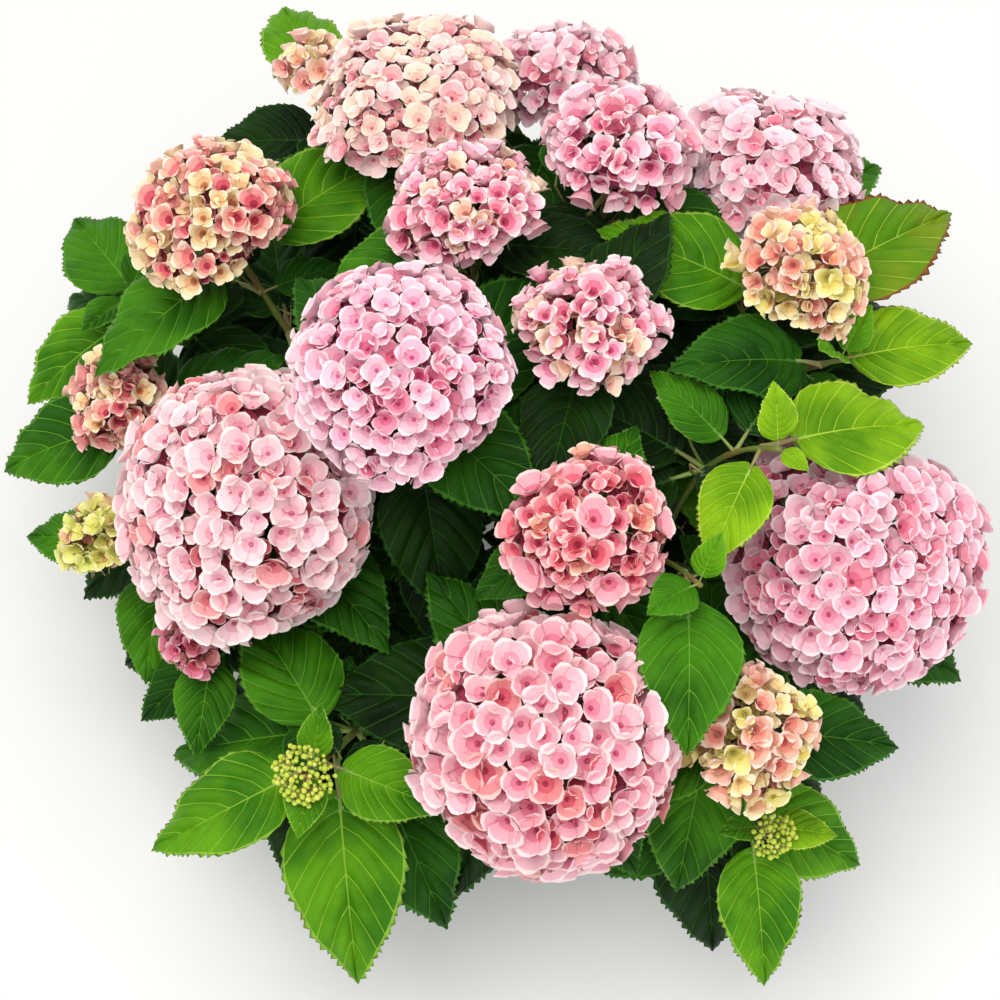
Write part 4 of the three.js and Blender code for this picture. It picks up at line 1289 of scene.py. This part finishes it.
def headPiece(shoot, number):
    layers, scale = floretLayers[shoot.get("layers", shoot["form"])], shoot.get("floret", 1)
    lengths = {"Spacing": scale, "Width": scale, "Clear": scale, "Inset": 1, "Sunk": 1}
    name = "head_%d" % number
    piece = newPiece(name, domeMesh(shoot, number))
    tree = headTree(name, len(layers), petalsOf(shoot.get("petals", "bud")))
    values = {"Axis": tuple(shootAxis(shoot))}
    for order, (kind, *sizes) in enumerate(layers):
        facts = dict(zip(layerSizes, sizes))
        facts.update({label: facts[label] * mm * grown for label, grown in lengths.items()})
        facts.update({"Florets": floretSets[kind], "Seed": 100 * number + 7 * order})
        values.update({"%s %d" % (label, order): value for label, value in facts.items()})
    modifier = piece.modifiers.new("florets", "NODES")
    modifier.node_group = tree
    for item in tree.interface.items_tree:
        if item.in_out == "INPUT" and item.name in values:
            modifier[item.identifier] = values[item.name]
    depsgraph = bpy.context.evaluated_depsgraph_get()
    made = bpy.data.meshes.new_from_object(piece.evaluated_get(depsgraph), depsgraph=depsgraph)
    piece.modifiers.clear()
    piece.data = made
    for label in ("zone", "tone"):
        if label in made.attributes:
            made.attributes.remove(made.attributes[label])
    return piece


def joinPieces(name, pieces):
    with bpy.context.temp_override(active_object=pieces[0], object=pieces[0], selected_objects=pieces,
                                   selected_editable_objects=pieces):
        if len(pieces) > 1:
            bpy.ops.object.join()
    pieces[0].name = pieces[0].data.name = name
    return pieces[0]


def settle(piece, slotName, *nodes):
    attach(piece, "root")
    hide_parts(*nodes)
    count = sum(len(face.vertices) - 2 for face in piece.data.polygons)
    print("  %s: %d triangles" % (piece.name, count))
    return count


def azimuthOf(name):
    middle = middleOf(crown[name])
    return math.atan2(middle[1], middle[0])


def nearestIn(solid):
    faces = [face.vertices[:] for face in solid.data.polygons]
    return BVHTree.FromPolygons([corner.co for corner in solid.data.vertices], faces)


def ringOf(name):  # the masses whose canes stand on the stool with this one's, in order round it
    inside = name in innerMasses
    return sorted([other for other in crown if (other in innerMasses) == inside], key=azimuthOf)


numbers = {}
for shoots in crown.values():
    for shoot in shoots:
        numbers[id(shoot)] = len(numbers) + 1
solids = {name: nearestIn(frame["nodes"]["foliage_" + name]) for name in crown}
total, leavesKept, leavesWanted, sideLeaves = 0, 0, 0, 0
caneParts, taken = [], []
print("growing the masses:")
for name, shoots in crown.items():
    node, ring = "foliage_" + name, ringOf(name)
    cane = caneLine(name, ring.index(name), len(ring))
    caneParts.append(caneMesh(cane, len(caneParts)))
    axis = (cane[2] - cane[1]) / np.linalg.norm(cane[2] - cane[1])
    start = cane[2] - axis * twigShape["sunk"]
    fork = cane[2] + axis * (caneRule["joinGap"] + caneRule["stem"])
    corners = np.array([corner.co for corner in frame["nodes"][node].data.vertices])
    reach = corners.min(0), corners.max(0)
    leaves, twigs, heads = [], [], []
    for shoot in shoots:
        number = numbers[id(shoot)]
        line = shootLine(fork, axis, shoot)
        wanted = leavesOf(shoot, line, number)
        kept = [leaf for leaf in (keptLeaf(leaf, solids[name]) for leaf in wanted) if leaf]
        sideTwigs, smallLeaves = sideShoots(wanted, reach, solids.values(), taken)
        leaves += kept + smallLeaves
        twigs += sideTwigs
        leavesWanted, leavesKept = leavesWanted + len(wanted), leavesKept + len(kept)
        sideLeaves += len(smallLeaves)
        if "form" in shoot:  # the twig ends under the head, where its stalks fork
            line = [*line[:3], line[3] - shootAxis(shoot) * forkDepth(shoot)]
            heads.append(headPiece(shoot, number))
        twigs.append(twigMesh(start, line, shoot, kept, number))
        twigs += stalkMeshes(shoot) if "form" in shoot else []
    total += settle(leavesPiece("leaves_" + name, leaves), "foliage", node)
    twigPiece = newPiece("twigs_" + name, newMesh("twigs_" + name, *joined(twigs), barkMaterials))
    total += settle(twigPiece, "foliage", node)
    if heads:
        total += settle(joinPieces("blossom_" + name, heads), "foliage", node)
print("leaves: %d of %d wanted, and %d small ones" % (leavesKept, leavesWanted, sideLeaves))

canes = newPiece("canes", newMesh("canes", *joined(caneParts), barkMaterials))
total += settle(canes, "bark", *["cane_" + name for name in crown])
stump = newPiece("stump", newMesh("stump", *joined([stoolMesh()]), barkMaterials))
total += settle(stump, "bark", "stool")
print("triangles in all: %d" % total)

for group in floretSets.values():
    for source in list(group.objects):
        bpy.data.objects.remove(source)
